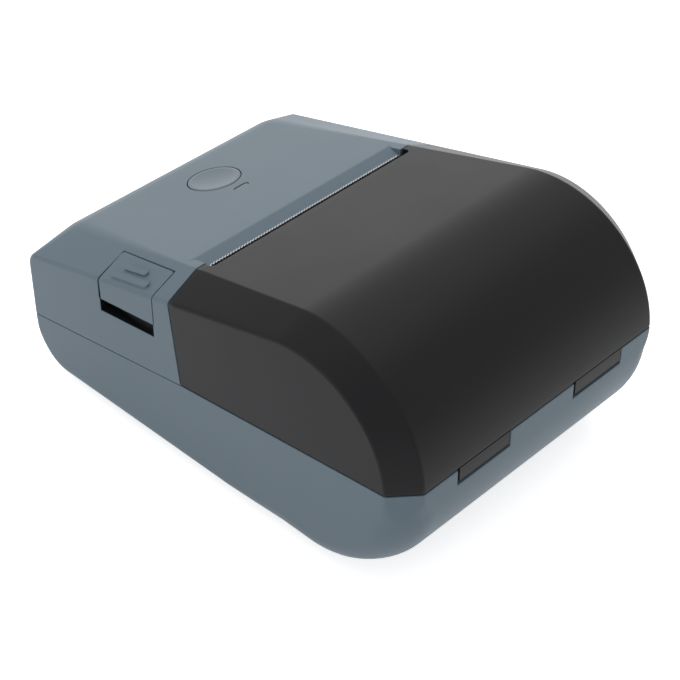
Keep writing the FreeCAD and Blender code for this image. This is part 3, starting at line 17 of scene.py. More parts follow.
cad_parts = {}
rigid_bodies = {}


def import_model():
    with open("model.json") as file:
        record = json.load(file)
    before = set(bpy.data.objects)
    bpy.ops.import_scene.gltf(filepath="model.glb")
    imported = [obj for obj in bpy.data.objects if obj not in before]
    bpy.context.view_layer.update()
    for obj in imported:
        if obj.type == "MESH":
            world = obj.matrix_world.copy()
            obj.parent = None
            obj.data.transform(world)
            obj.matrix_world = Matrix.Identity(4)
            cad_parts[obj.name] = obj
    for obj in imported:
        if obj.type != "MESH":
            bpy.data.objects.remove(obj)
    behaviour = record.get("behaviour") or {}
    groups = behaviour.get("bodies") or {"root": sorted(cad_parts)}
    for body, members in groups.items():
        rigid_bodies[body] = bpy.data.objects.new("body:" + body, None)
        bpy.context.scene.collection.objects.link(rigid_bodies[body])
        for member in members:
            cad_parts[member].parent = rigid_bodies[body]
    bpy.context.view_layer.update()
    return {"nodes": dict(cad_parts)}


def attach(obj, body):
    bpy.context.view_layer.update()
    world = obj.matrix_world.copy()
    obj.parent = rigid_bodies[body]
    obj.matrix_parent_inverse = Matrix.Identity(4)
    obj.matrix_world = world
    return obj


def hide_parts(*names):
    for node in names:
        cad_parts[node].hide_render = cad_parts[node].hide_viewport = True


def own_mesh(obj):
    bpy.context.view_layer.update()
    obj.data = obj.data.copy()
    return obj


logging.basicConfig(level=logging.INFO, format="%(levelname)s %(message)s")
log = logging.getLogger("label_printer")

MM = 0.001
EDGE = "edge"
# Mesh attribute for painted shade: near-black colour painted inside a recess where shade falls.
PAINTED_SHADE = "painted_recess_shade"
Number = Union[float, "Field"]
Point = tuple[float, float, float]


# ---------------------------------------------------------------------------
# Shader writing
# ---------------------------------------------------------------------------

class Field:
    """Value that varies over a surface, usable in plain arithmetic."""

    def __init__(self, graph: "Graph", socket: bpy.types.NodeSocket) -> None:
        """Keep the graph and the socket that gives the value."""
        self.graph = graph
        self.socket = socket

    def _with(self, operation: str, first: Number, second: Number) -> "Field":
        """Add one Math node.

        Args:
            operation: Name of the Math operation.
            first: Left operand.
            second: Right operand.

        Returns:
            The result as a field.
        """
        node = self.graph.node("ShaderNodeMath", {"operation": operation}, {0: first, 1: second})
        return Field(self.graph, node.outputs[0])

    def __add__(self, other: Number) -> "Field":
        """Sum."""
        return self._with("ADD", self, other)

    def __radd__(self, other: Number) -> "Field":
        """Sum with a number on the left."""
        return self._with("ADD", other, self)

    def __sub__(self, other: Number) -> "Field":
        """Difference."""
        return self._with("SUBTRACT", self, other)

    def __rsub__(self, other: Number) -> "Field":
        """Difference with a number on the left."""
        return self._with("SUBTRACT", other, self)

    def __mul__(self, other: Number) -> "Field":
        """Product."""
        return self._with("MULTIPLY", self, other)

    def __rmul__(self, other: Number) -> "Field":
        """Product with a number on the left."""
        return self._with("MULTIPLY", other, self)

    def above(self, edge: float, width: float) -> "Field":
        """Soft step from 0 to 1.

        Args:
            edge: Value at which the step starts.
            width: Width of the step.

        Returns:
            0 under the edge, 1 past it, smooth in between.
        """
        node = self.graph.node("ShaderNodeMapRange", {"interpolation_type": "SMOOTHSTEP"},
                               {0: self, 1: edge, 2: edge + width, 3: 0.0, 4: 1.0})
        return Field(self.graph, node.outputs[0])

    def largest(self, other: Number) -> "Field":
        """Larger of two values."""
        return self._with("MAXIMUM", self, other)


class Graph:
    """Node graph of one material."""

    def __init__(self, name: str) -> None:
        """Start an empty material with the object's own coordinates at hand."""
        self.material = bpy.data.materials.new(name)
        self.material.use_nodes = True
        self.tree = self.material.node_tree
        self.tree.nodes.clear()
        self.place = self.node("ShaderNodeTexCoord").outputs["Object"]

    def node(self, kind: str, settings: dict | None = None, inputs: dict | None = None) -> bpy.types.Node:
        """Add a node.

        Args:
            kind: Node type.
            settings: Properties, set first.
            inputs: Values or links by socket name or number.

        Returns:
            The new node.
        """
        made = self.tree.nodes.new(kind)
        for key, value in (settings or {}).items():
            setattr(made, key, value)
        for key, value in (inputs or {}).items():
            target = made.inputs[key]
            if isinstance(value, Field):
                value = value.socket
            if isinstance(value, bpy.types.NodeSocket):
                self.tree.links.new(value, target)
            else:
                target.default_value = value
        return made

    def noise(self, size_mm: float, detail: float = 2.0, stretch: Point = (1.0, 1.0, 1.0)) -> Field:
        """Cloudy variation.

        Args:
            size_mm: Rough size of one cloud.
            detail: Octaves of finer detail.
            stretch: Scale of the pattern along X, Y and Z.

        Returns:
            Field around 0.5.
        """
        place = self.place
        if stretch != (1.0, 1.0, 1.0):
            place = self.node("ShaderNodeMapping", {}, {"Vector": place, "Scale": stretch}).outputs[0]
        made = self.node("ShaderNodeTexNoise", {}, {"Vector": place, "Scale": 1.0 / (size_mm * MM), "Detail": detail,
                                                     "Roughness": 0.55})
        return Field(self, made.outputs[0])

    def cells(self, size_mm: float) -> Field:
        """Distance to the nearest of scattered points, for grains of that size."""
        made = self.node("ShaderNodeTexVoronoi", {}, {"Vector": self.place, "Scale": 1.0 / (size_mm * MM)})
        return Field(self, made.outputs["Distance"])

    def marked(self, attribute: str) -> Field:
        """Value of a mesh attribute: 1 where marked, 0 elsewhere."""
        made = self.node("ShaderNodeAttribute", {"attribute_name": attribute})
        return Field(self, made.outputs["Fac"])

    def along(self, axis: int) -> Field:
        """Coordinate in millimetres along X, Y or Z."""
        made = self.node("ShaderNodeSeparateXYZ", {}, {0: self.place})
        return Field(self, made.outputs[axis]) * 1000.0

    def blend(self, first: object, second: object, share: Number) -> bpy.types.NodeSocket:
        """Mix two colours.

        Args:
            first: Colour or socket at share 0.
            second: Colour or socket at share 1.
            share: Mixing field.

        Returns:
            Colour socket.
        """
        made = self.node("ShaderNodeMix", {"data_type": "RGBA", "clamp_factor": True}, {0: share, 6: first, 7: second})
        return made.outputs[2]

    def bump(self, height: Field, depth_mm: float, strength: float = 1.0) -> bpy.types.NodeSocket:
        """Surface relief.

        Args:
            height: Relief field.
            depth_mm: Depth for a change of 1 in the field.
            strength: Share of the relief that shows.

        Returns:
            Normal socket.
        """
        made = self.node("ShaderNodeBump", {}, {"Strength": strength, "Distance": depth_mm * MM, "Height": height})
        return made.outputs[0]

    def finish(self, shader: bpy.types.NodeSocket) -> bpy.types.Material:
        """Connect the surface shader and return the material."""
        self.node("ShaderNodeOutputMaterial", {}, {"Surface": shader})
        return self.material


def linear(code: str, gain: float = 1.0) -> tuple[float, float, float, float]:
    """Convert a written colour.

    Args:
        code: Colour as #rrggbb.
        gain: Factor on the light that it reflects.

    Returns:
        Linear RGBA.
    """
    values = []
    for start in (1, 3, 5):
        share = int(code[start:start + 2], 16) / 255.0
        share = share / 12.92 if share <= 0.04045 else ((share + 0.055) / 1.055) ** 2.4
        values.append(min(share * gain, 1.0))
    return (values[0], values[1], values[2], 1.0)


# ---------------------------------------------------------------------------
# Finishes
# ---------------------------------------------------------------------------

@dataclass(frozen=True)
class Finish:
    """Surface finish; each kind writes its own material once."""

    name: str
    colour: str
    roughness: float = 0.5

    def material(self) -> bpy.types.Material:
        """Material of this finish, written on first use."""
        title = f"{self.name}_finish"
        return bpy.data.materials.get(title) or self.write(Graph(title))

    def write(self, graph: Graph) -> bpy.types.Material:
        """Write the material's nodes."""
        raise NotImplementedError


@dataclass(frozen=True)
class MouldedPlastic(Finish):
    """Injection-moulded plastic with fine grain, faint flow clouds, light handling marks and painted shade that
    darkens marked recesses.
    """

    grain_mm: float = 0.35
    grain_depth: float = 0.012
    clouds: float = 0.06
    scuffs: float = 0.25
    wear: float = 0.35
    ior: float = 1.5

    def write(self, graph: Graph) -> bpy.types.Material:
        """Write the moulded plastic.

        Args:
            graph: Empty graph to fill.

        Returns:
            The material.
        """
        clouds = graph.noise(28.0, 3.0)
        blotches = graph.noise(6.0, 4.0)
        grain = graph.noise(self.grain_mm, 2.0)
        pores = graph.cells(self.grain_mm * 1.6)
        scratch = graph.noise(1.6, 5.0, (0.12, 1.0, 0.6)).above(0.66, 0.05) * graph.noise(14.0, 2.0).above(0.52, 0.1)
        shade = (clouds - 0.5) * self.clouds * 6.0 + (blotches - 0.5) * self.clouds * 2.0 + (grain - 0.5) * 0.5 + 0.5
        tone = graph.blend(linear(self.colour, 1.0 - self.clouds), linear(self.colour, 1.0 + self.clouds), shade)
        rubbed = graph.marked(EDGE) * graph.noise(2.2, 4.0).above(0.42, 0.25) * self.wear
        wear_and_painted_shade = graph.blend(tone, linear(self.colour, 1.5), (scratch * self.scuffs).largest(rubbed))
        # Painted shade: near-black where the recess attribute is set, standing in for the shade deep inside a recess.
        wear_and_painted_shade = graph.blend(wear_and_painted_shade, linear(self.colour, 0.04), graph.marked(PAINTED_SHADE))
        rough = ((clouds - 0.5) * 0.12 + (grain - 0.5) * 0.1 + scratch * (0.3 * self.scuffs) - rubbed * 0.2
                 + self.roughness)
        relief = grain * 0.6 + pores * 0.6 - scratch * self.scuffs
        shader = graph.node("ShaderNodeBsdfPrincipled", {}, {
            "Base Color": wear_and_painted_shade, "Roughness": rough, "IOR": self.ior,
            "Normal": graph.bump(relief, self.grain_depth)})
        return graph.finish(shader.outputs[0])


class Lay(Enum):
    """Direction of the brushing on a metal."""

    ALONG_X = (0.04, 1.0, 1.0)
    ALONG_Y = (1.0, 0.04, 1.0)
    ROUND = (0.6, 1.0, 1.0)


@dataclass(frozen=True)
class BrushedMetal(Finish):
    """Metal with brushing or turning marks, faint spots and dulled patches."""

    lay: Lay = Lay.ALONG_X
    spots: float = 0.15

    def write(self, graph: Graph) -> bpy.types.Material:
        """Write the metal.

        Args:
            graph: Empty graph to fill.

        Returns:
            The material.
        """
        streaks = graph.noise(0.5, 4.0, self.lay.value)
        patches = graph.noise(9.0, 3.0)
        spots = graph.cells(1.9).above(0.08, 0.06)
        dull = (1.0 - spots) * self.spots + patches.above(0.55, 0.2) * 0.15
        shade = streaks * 0.6 + patches * 0.4
        tone = graph.blend(linear(self.colour, 0.82), linear(self.colour, 1.12), shade)
        tone = graph.blend(tone, linear(self.colour, 0.55), dull)
        rough = (streaks - 0.5) * 0.2 + dull * 0.3 + self.roughness
        shader = graph.node("ShaderNodeBsdfPrincipled", {}, {
            "Base Color": tone, "Roughness": rough, "Metallic": 1.0,
            "Normal": graph.bump(streaks, 0.006)})
        return graph.finish(shader.outputs[0])


@dataclass(frozen=True)
class Rubber(Finish):
    """Matt rubber with a ground surface and a dusty bloom."""

    bloom: float = 0.3

    def write(self, graph: Graph) -> bpy.types.Material:
        """Write the rubber.

        Args:
            graph: Empty graph to fill.

        Returns:
            The material.
        """
        dust = graph.noise(7.0, 4.0).above(0.45, 0.3)
        pits = graph.cells(0.5)
        grain = graph.noise(0.3, 3.0)
        tone = graph.blend(linear(self.colour, 0.85), linear(self.colour, 1.5), dust * self.bloom)
        tone = graph.blend(tone, linear(self.colour, 0.7), grain * 0.4)
        rough = dust * 0.12 + (grain - 0.5) * 0.1 + self.roughness
        shader = graph.node("ShaderNodeBsdfPrincipled", {}, {
            "Base Color": tone, "Roughness": rough, "IOR": 1.45,
            "Normal": graph.bump(pits * 0.7 + grain * 0.5, 0.02)})
        return graph.finish(shader.outputs[0])


@dataclass(frozen=True)
class WaxyPlastic(Finish):
    """Pale slippery plastic of gears and bushes, or a frosted light guide."""

    subsurface: float = 0.15

    def write(self, graph: Graph) -> bpy.types.Material:
        """Write the waxy plastic.

        Args:
            graph: Empty graph to fill.

        Returns:
            The material.
        """
        clouds = graph.noise(4.0, 3.0)
        grain = graph.noise(0.25, 2.0)
        dirt = graph.noise(1.5, 4.0).above(0.6, 0.15)
        tone = graph.blend(linear(self.colour, 0.9), linear(self.colour, 1.06), clouds)
        tone = graph.blend(tone, linear(self.colour, 0.62), dirt * 0.25)
        rough = (clouds - 0.5) * 0.15 + (grain - 0.5) * 0.08 + self.roughness
        shader = graph.node("ShaderNodeBsdfPrincipled", {}, {
            "Base Color": tone, "Roughness": rough, "IOR": 1.48, "Subsurface Weight": self.subsurface,
            "Subsurface Scale": 0.001, "Normal": graph.bump(grain, 0.008)})
        return graph.finish(shader.outputs[0])


@dataclass(frozen=True)
class CircuitBoard(Finish):
    """Solder mask with tracks and pads, dark chips above it and bright tops on the tall cans."""

    board_top: float = 20.1
    can_top: float = 25.0
    chip: str = "#17181a"
    track: str = "#2f7a4c"
    pad: str = "#c9b070"

    def write(self, graph: Graph) -> bpy.types.Material:
        """Write the board with its parts, told apart by height.

        Args:
            graph: Empty graph to fill.

        Returns:
            The material.
        """
        height = graph.along(2)
        bricks = graph.node("ShaderNodeTexBrick", {"offset": 0.37, "squash": 1.6, "squash_frequency": 3}, {
            "Vector": graph.place, "Scale": 260.0, "Mortar Size": 0.03, "Mortar Smooth": 0.2,
            "Brick Width": 0.9, "Row Height": 0.35})
        tracks = Field(graph, bricks.outputs["Fac"])
        pads = (1.0 - graph.cells(2.6).above(0.13, 0.03))
        grain = graph.noise(0.4, 3.0)
        mask = graph.blend(linear(self.colour, 0.85), linear(self.colour, 1.15), grain)
        mask = graph.blend(mask, linear(self.track), tracks * 0.8)
        mask = graph.blend(mask, linear(self.pad), pads * 0.9)
        chips = height.above(self.board_top + 0.02, 0.04)
        cans = height.above(self.can_top, 0.1)
        tone = graph.blend(mask, linear(self.chip), chips)
        tone = graph.blend(tone, linear("#b9bcc0"), cans)
        rough = (grain - 0.5) * 0.1 + chips * 0.25 + self.roughness
        shader = graph.node("ShaderNodeBsdfPrincipled", {}, {
            "Base Color": tone, "Roughness": rough, "IOR": 1.5,
            "Normal": graph.bump(tracks + pads * 0.5 + grain * 0.1, 0.03)})
        return graph.finish(shader.outputs[0])


@dataclass(frozen=True)
class HeaterStrip(Finish):
    """Ceramic head board: pale glaze with a dark heater line at one height and a driver coat below."""

    line_z: float = 39.5
    coat_z: float = 37.2

    def write(self, graph: Graph) -> bpy.types.Material:
        """Write the ceramic.

        Args:
            graph: Empty graph to fill.

        Returns:
            The material.
        """
        height = graph.along(2)
        grain = graph.noise(0.4, 3.0)
        line = height.above(self.line_z - 0.3, 0.1) * (1.0 - height.above(self.line_z + 0.2, 0.1))
        driver = 1.0 - height.above(self.coat_z, 0.15)
        comb = graph.noise(0.25, 0.0, (1.0, 0.01, 0.01)).above(0.5, 0.05) * (1.0 - driver)
        tone = graph.blend(linear(self.colour, 0.92), linear(self.colour, 1.05), grain)
        tone = graph.blend(tone, linear("#b4a88e"), comb * 0.3)
        tone = graph.blend(tone, linear("#2d2622"), (line * 0.9).largest(driver * 0.85))
        rough = (grain - 0.5) * 0.08 + driver * 0.3 + self.roughness
        shader = graph.node("ShaderNodeBsdfPrincipled", {}, {
            "Base Color": tone, "Roughness": rough, "IOR": 1.6, "Normal": graph.bump(grain + line, 0.01)})
        return graph.finish(shader.outputs[0])


CASE_GREY = MouldedPlastic("case_grey", "#66757f", 0.45, grain_mm=0.4, grain_depth=0.008, clouds=0.03, scuffs=0.1,
                           ior=1.28)
LID_BLACK = MouldedPlastic("lid_black", "#18181a", 0.4, grain_mm=0.3, grain_depth=0.005, clouds=0.05, scuffs=0.1,
                           ior=1.24)
INNER_BLACK = MouldedPlastic("inner_black", "#1c1d1f", 0.5, grain_mm=0.3, clouds=0.08, scuffs=0.2, ior=1.3)
INNER_GREY = MouldedPlastic("inner_grey", "#3c3e41", 0.6, grain_mm=0.5, clouds=0.08, scuffs=0.3)
BUTTON_GREY = MouldedPlastic("button_grey", "#67747d", 0.4, grain_mm=0.25, grain_depth=0.005, clouds=0.03, ior=1.32)
RUBBER_BLACK = Rubber("rubber_black", "#202021", 0.8)
SILICONE_GREY = Rubber("silicone_grey", "#8e8e8a", 0.6)
PLATEN_RUBBER = Rubber("platen_rubber", "#2b2b2d", 0.7, bloom=0.15)
STEEL = BrushedMetal("steel", "#bcbec1", 0.32)
DARK_STEEL = BrushedMetal("dark_steel", "#47484b", 0.4, Lay.ROUND)
PLATED_STEEL = BrushedMetal("plated_steel", "#b6b7b2", 0.38, Lay.ALONG_Y, spots=0.25)
ALUMINIUM = BrushedMetal("aluminium", "#c4c7ca", 0.42)
BRASS = BrushedMetal("brass", "#c9a45c", 0.3, Lay.ROUND)
GOLD_CONTACT = BrushedMetal("gold_contact", "#d8b86a", 0.25, Lay.ALONG_Y)
ACETAL = WaxyPlastic("acetal", "#dfddd2", 0.4)
LIGHT_GUIDE = WaxyPlastic("light_guide", "#545f67", 0.35, subsurface=0.2)
LED_WHITE = WaxyPlastic("led_white", "#e6ead9", 0.3, subsurface=0.3)
CERAMIC = HeaterStrip("ceramic", "#d3cdc2", 0.25)
BOARD_GREEN = CircuitBoard("board_green", "#14522c", 0.35)

NODE_FINISHES: dict[str, Finish] = {
    "lid_liner": INNER_BLACK, "hinge_pins": STEEL, "latch_hook": PLATED_STEEL, "latch_pin": STEEL,
    "key_screws": PLATED_STEEL, "platen_roller": PLATEN_RUBBER, "platen_shaft": STEEL, "platen_clip": STEEL,
    "platen_bushes": ACETAL, "platen_gear": ACETAL, "reduction_gear": ACETAL, "motor_pinion": BRASS,
    "gear_stub": STEEL, "stepper_motor": PLATED_STEEL, "motor_shaft": STEEL, "mechanism_frame": PLATED_STEEL,
    "paper_bar": PLATED_STEEL, "label_sensor": INNER_BLACK, "thermal_head": CERAMIC, "head_heat_sink": ALUMINIUM,
    "head_pivot_rod": STEEL, "paper_tub": INNER_GREY, "guide_left": INNER_BLACK, "guide_right": INNER_BLACK,
    "guide_pinion": ACETAL, "guide_pin": STEEL, "main_board": BOARD_GREEN, "usb_socket": STEEL,
    "key_board": BOARD_GREEN, "power_switch": INNER_BLACK, "status_led": LED_WHITE,
    "battery_pack": INNER_GREY, "battery_contacts": GOLD_CONTACT, "battery_catch": INNER_GREY,
}


# ---------------------------------------------------------------------------
# Solids
# ---------------------------------------------------------------------------

class Solid:
    """Closed mesh under construction; sizes are given in millimetres and kept in metres."""

    def __init__(self, points: Sequence[Sequence[float]], faces: Sequence[Sequence[int]]) -> None:
        """Build the mesh with its faces turned outwards."""
        self.mesh = bpy.data.meshes.new("solid")
        self.mesh.from_pydata([tuple(c * MM for c in p) for p in points], [], [tuple(f) for f in faces])
        self.tidy()

    @classmethod
    def of_mesh(cls, mesh: bpy.types.Mesh) -> "Solid":
        """Wrap a finished mesh."""
        made = cls([], [])
        made.mesh = mesh
        return made

    @classmethod
    def of_node(cls, node: bpy.types.Object) -> "Solid":
        """Copy of a CAD node with its loose triangles merged."""
        return cls.of_mesh(node.data.copy()).tidy(0.0005)

    def tidy(self, merge_mm: float = 0.002) -> "Solid":
        """Merge doubles and turn the faces outwards.

        Args:
            merge_mm: Distance under which points are one.

        Returns:
            This solid.
        """
        work = bmesh.new()
        work.from_mesh(self.mesh)
        bmesh.ops.remove_doubles(work, verts=work.verts, dist=merge_mm * MM)
        bmesh.ops.dissolve_degenerate(work, edges=work.edges, dist=merge_mm * MM * 0.5)
        bmesh.ops.recalc_face_normals(work, faces=work.faces)
        work.to_mesh(self.mesh)
        work.free()
        return self

    def changed(self, kind: str, settings: dict) -> "Solid":
        """Apply one modifier.

        Args:
            kind: Modifier type.
            settings: Its properties.

        Returns:
            New solid.
        """
        carrier = bpy.data.objects.new("carrier", self.mesh)
        bpy.context.scene.collection.objects.link(carrier)
        step = carrier.modifiers.new("step", kind)
        for key, value in settings.items():
            setattr(step, key, value)
        graph = bpy.context.evaluated_depsgraph_get()
        mesh = bpy.data.meshes.new_from_object(carrier.evaluated_get(graph))
        bpy.data.objects.remove(carrier)
        return Solid.of_mesh(mesh)

    def _with(self, others: Iterable["Solid"], operation: str) -> "Solid":
        """Apply exact booleans.

        Args:
            others: Solids to combine with, one after another.
            operation: DIFFERENCE, UNION or INTERSECT.

        Returns:
            New solid.
        """
        mesh = self.mesh
        scene = bpy.context.scene
        for other in others:
            target = bpy.data.objects.new("target", mesh)
            tool = bpy.data.objects.new("tool", other.mesh)
            for item in (target, tool):
                scene.collection.objects.link(item)
            step = target.modifiers.new("step", "BOOLEAN")
            step.operation = operation
            step.solver = "EXACT"
            step.object = tool
            graph = bpy.context.evaluated_depsgraph_get()
            mesh = bpy.data.meshes.new_from_object(target.evaluated_get(graph))
            for item in (target, tool):
                bpy.data.objects.remove(item)
        return Solid.of_mesh(mesh)

    def cut(self, *others: "Solid") -> "Solid":
        """This solid without the others."""
        return self._with(others, "DIFFERENCE")

    def add(self, *others: "Solid") -> "Solid":
        """This solid joined with the others."""
        return self._with(others, "UNION")

    def within(self, *others: "Solid") -> "Solid":
        """Part of this solid inside the others."""
        return self._with(others, "INTERSECT")

    def beside(self, *others: "Solid") -> "Solid":
        """Separate solids kept together in one mesh, without a boolean."""
        work = bmesh.new()
        for solid in (self, *others):
            work.from_mesh(solid.mesh)
        mesh = bpy.data.meshes.new("solids")
        work.to_mesh(mesh)
        work.free()
        return Solid.of_mesh(mesh)

    def soften_rims(self, form: "Solid", width_mm: float, sharp_deg: float = 32.0) -> "Solid":
        """Round the sharp edges that lie on the outer form, and mark them for edge wear.

        Args:
            form: Outer form that the rims lie on.
            width_mm: Width of the rounding.
            sharp_deg: Angle from which an edge counts as sharp.

        Returns:
            This solid.
        """
        work = bmesh.new()
        work.from_mesh(form.mesh)
        surface = BVHTree.FromBMesh(work)
        work.free()
        work = bmesh.new()
        work.from_mesh(self.mesh)
        wear = work.verts.layers.float.new(EDGE)
        near = [surface.find_nearest(v.co)[3] < 0.006 * MM for v in work.verts]
        rims = [e for e in work.edges if near[e.verts[0].index] and near[e.verts[1].index] and e.is_manifold
                and e.is_convex and e.calc_face_angle() > math.radians(sharp_deg)]
        made = bmesh.ops.bevel(work, geom=rims, offset=width_mm * MM, offset_type="OFFSET", segments=2, profile=0.5,
                               affect="EDGES", clamp_overlap=False)
        band = {face for face in made["faces"] if face.is_valid}
        for vert in work.verts:
            vert[wear] = 1.0 if vert.link_faces and all(face in band for face in vert.link_faces) else 0.0
        for vert in {vert for face in band for vert in face.verts}:
            place, normal, _, _ = surface.find_nearest(vert.co)
            if (vert.co - place).dot(normal) > 0:
                vert.co = place
        work.to_mesh(self.mesh)
        work.free()
        return self

    def paint_recess_shade(self, form: "Solid", low: Point, high: Point, depth_mm: float = 0.14) -> "Solid":
        """Paint shade into the inside of a recess: the deeper a point lies under the outer form, the darker its
        painted shade.

        Args:
            form: Outer form.
            low: Lowest corner of the recess.
            high: Highest corner of the recess.
            depth_mm: Depth at which the painted shade is full.

        Returns:
            This solid.
        """
        work = bmesh.new()
        work.from_mesh(form.mesh)
        surface = BVHTree.FromBMesh(work)
        work.free()
        marks = self.mesh.attributes.new(PAINTED_SHADE, "FLOAT", "POINT")
        for vert, mark in zip(self.mesh.vertices, marks.data):
            if all(a * MM <= c <= b * MM for a, b, c in zip(low, high, vert.co)):
                mark.value = ease(surface.find_nearest(vert.co)[3] / MM, 0.04, depth_mm)
        return self

    def moved(self, place: Matrix) -> "Solid":
        """Copy in another place; the matrix is in millimetres."""
        shift = Matrix.Translation(place.to_translation() * MM) @ place.to_3x3().to_4x4()
        mesh = self.mesh.copy()
        mesh.transform(shift)
        return Solid.of_mesh(mesh)


def block(x0: float, x1: float, y0: float, y1: float, z0: float, z1: float, place: Matrix | None = None) -> Solid:
    """Rectangular block.

    Args:
        x0: Lowest X.
        x1: Highest X.
        y0: Lowest Y.
        y1: Highest Y.
        z0: Lowest Z.
        z1: Highest Z.
        place: Frame that the limits are given in.

    Returns:
        The block.
    """
    points = [(x, y, z) for x in (x0, x1) for y in (y0, y1) for z in (z0, z1)]
    faces = [(0, 1, 3, 2), (4, 6, 7, 5), (0, 4, 5, 1), (2, 3, 7, 6), (0, 2, 6, 4), (1, 5, 7, 3)]
    made = Solid(points, faces)
    return made.moved(place) if place else made


def prism(outline: Sequence[Point], step: Point) -> Solid:
    """Outline swept along a straight step.

    Args:
        outline: Corners in order.
        step: Sweep vector.

    Returns:
        The prism.
    """
    count = len(outline)
    points = list(outline) + [tuple(a + b for a, b in zip(p, step)) for p in outline]
    faces: list[tuple[int, ...]] = [tuple(range(count)), tuple(range(2 * count - 1, count - 1, -1))]
    faces += [(i, (i + 1) % count, count + (i + 1) % count, count + i) for i in range(count)]
    return Solid(points, faces)


def lathe(outline: Sequence[tuple[float, float]], place: Matrix, steps: int = 48) -> Solid:
    """Turned body about the local Z axis.

    Args:
        outline: Pairs of radius and height from the axis round to the axis.
        place: Frame of the axis.
        steps: Facets round the turn.

    Returns:
        The turned body.
    """
    points: list[Point] = []
    faces: list[tuple[int, ...]] = []
    for radius, height in outline:
        for k in range(steps):
            angle = 2 * math.pi * k / steps
            points.append((max(radius, 0.0) * math.cos(angle), max(radius, 0.0) * math.sin(angle), height))
    for ring in range(len(outline) - 1):
        for k in range(steps):
            a, b = ring * steps + k, ring * steps + (k + 1) % steps
            faces.append((a, b, b + steps, a + steps))
    return Solid(points, faces).moved(place)


def rod(radius: float, length: float, start: Sequence[float], axis: Sequence[float], steps: int = 32) -> Solid:
    """Round rod from a start point.

    Args:
        radius: Radius.
        length: Length.
        start: Middle of the first end.
        axis: Direction.
        steps: Facets round it.

    Returns:
        The rod.
    """
    turn = Vector((0, 0, 1)).rotation_difference(Vector(axis)).to_matrix().to_4x4()
    place = Matrix.Translation(Vector(start)) @ turn
    return lathe([(0, 0), (radius, 0), (radius, length), (0, length)], place, steps)


def obround(half: float, radius: float, low: float, high: float, place: Matrix, steps: int = 14) -> Solid:
    """Bar with round ends, long along local X.

    Args:
        half: Half the distance between the end centres.
        radius: Radius of the ends.
        low: Lowest local Z.
        high: Highest local Z.
        place: Frame of the bar.
        steps: Facets of each end.

    Returns:
        The bar.
    """
    outline = []
    for side, start in ((1, -90), (-1, 90)):
        for k in range(steps + 1):
            angle = math.radians(start + 180 * k / steps)
            outline.append((side * half + radius * math.cos(angle), radius * math.sin(angle), low))
    return prism(outline, (0, 0, high - low)).moved(place)


class Body(Enum):
    """Bodies that the pieces ride on."""

    CASE = "case"
    LID = "lid"
    LATCH = "latch"
    BUTTON = "button"
    HEAD = "head"


def piece(name: str, solid: Solid, finish: Finish, body: Body, nodes: Sequence[str],
          bevel_mm: float = 0.0, sharp_deg: float = 32.0, bevel_steps: int = 2) -> bpy.types.Object:
    """Turn a solid into a finished piece that stands for its CAD nodes.

    Args:
        name: Name of the piece.
        solid: Its shape.
        finish: Its finish.
        body: Body that carries it.
        nodes: CAD nodes that it replaces.
        bevel_mm: Width of the softened edges.
        sharp_deg: Angle from which an edge counts as sharp.
        bevel_steps: Facets across a softened edge.

    Returns:
        The piece.
    """
    solid.tidy(0.004)
    if bevel_mm > 0:
        edge = {"width": bevel_mm * MM, "segments": bevel_steps, "limit_method": "ANGLE",
                "angle_limit": math.radians(sharp_deg), "use_clamp_overlap": True, "miter_outer": "MITER_ARC"}
        solid = solid.changed("BEVEL", edge)
    solid.mesh.shade_smooth()
    solid.mesh.set_sharp_from_angle(angle=math.radians(sharp_deg))
    mesh = solid.changed("WEIGHTED_NORMAL", {"mode": "FACE_AREA", "weight": 50, "keep_sharp": True}).mesh
    mesh.name = name
    mesh.materials.clear()
    mesh.materials.append(finish.material())
    made = bpy.data.objects.new(name, mesh)
    bpy.context.scene.collection.objects.link(made)
    settle(made, body, nodes)
    return made


def settle(made: bpy.types.Object, body: Body, nodes: Sequence[str]) -> None:
    """Register a finished piece with the frame.

    Args:
        made: The piece.
        body: Body that carries it.
        nodes: CAD nodes that it replaces.
    """
    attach(made, body.value)
    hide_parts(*nodes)
    log.info("%s: %d faces, for %s", made.name, len(made.data.polygons), ", ".join(nodes))


# ---------------------------------------------------------------------------
# Geometry node trees
# ---------------------------------------------------------------------------

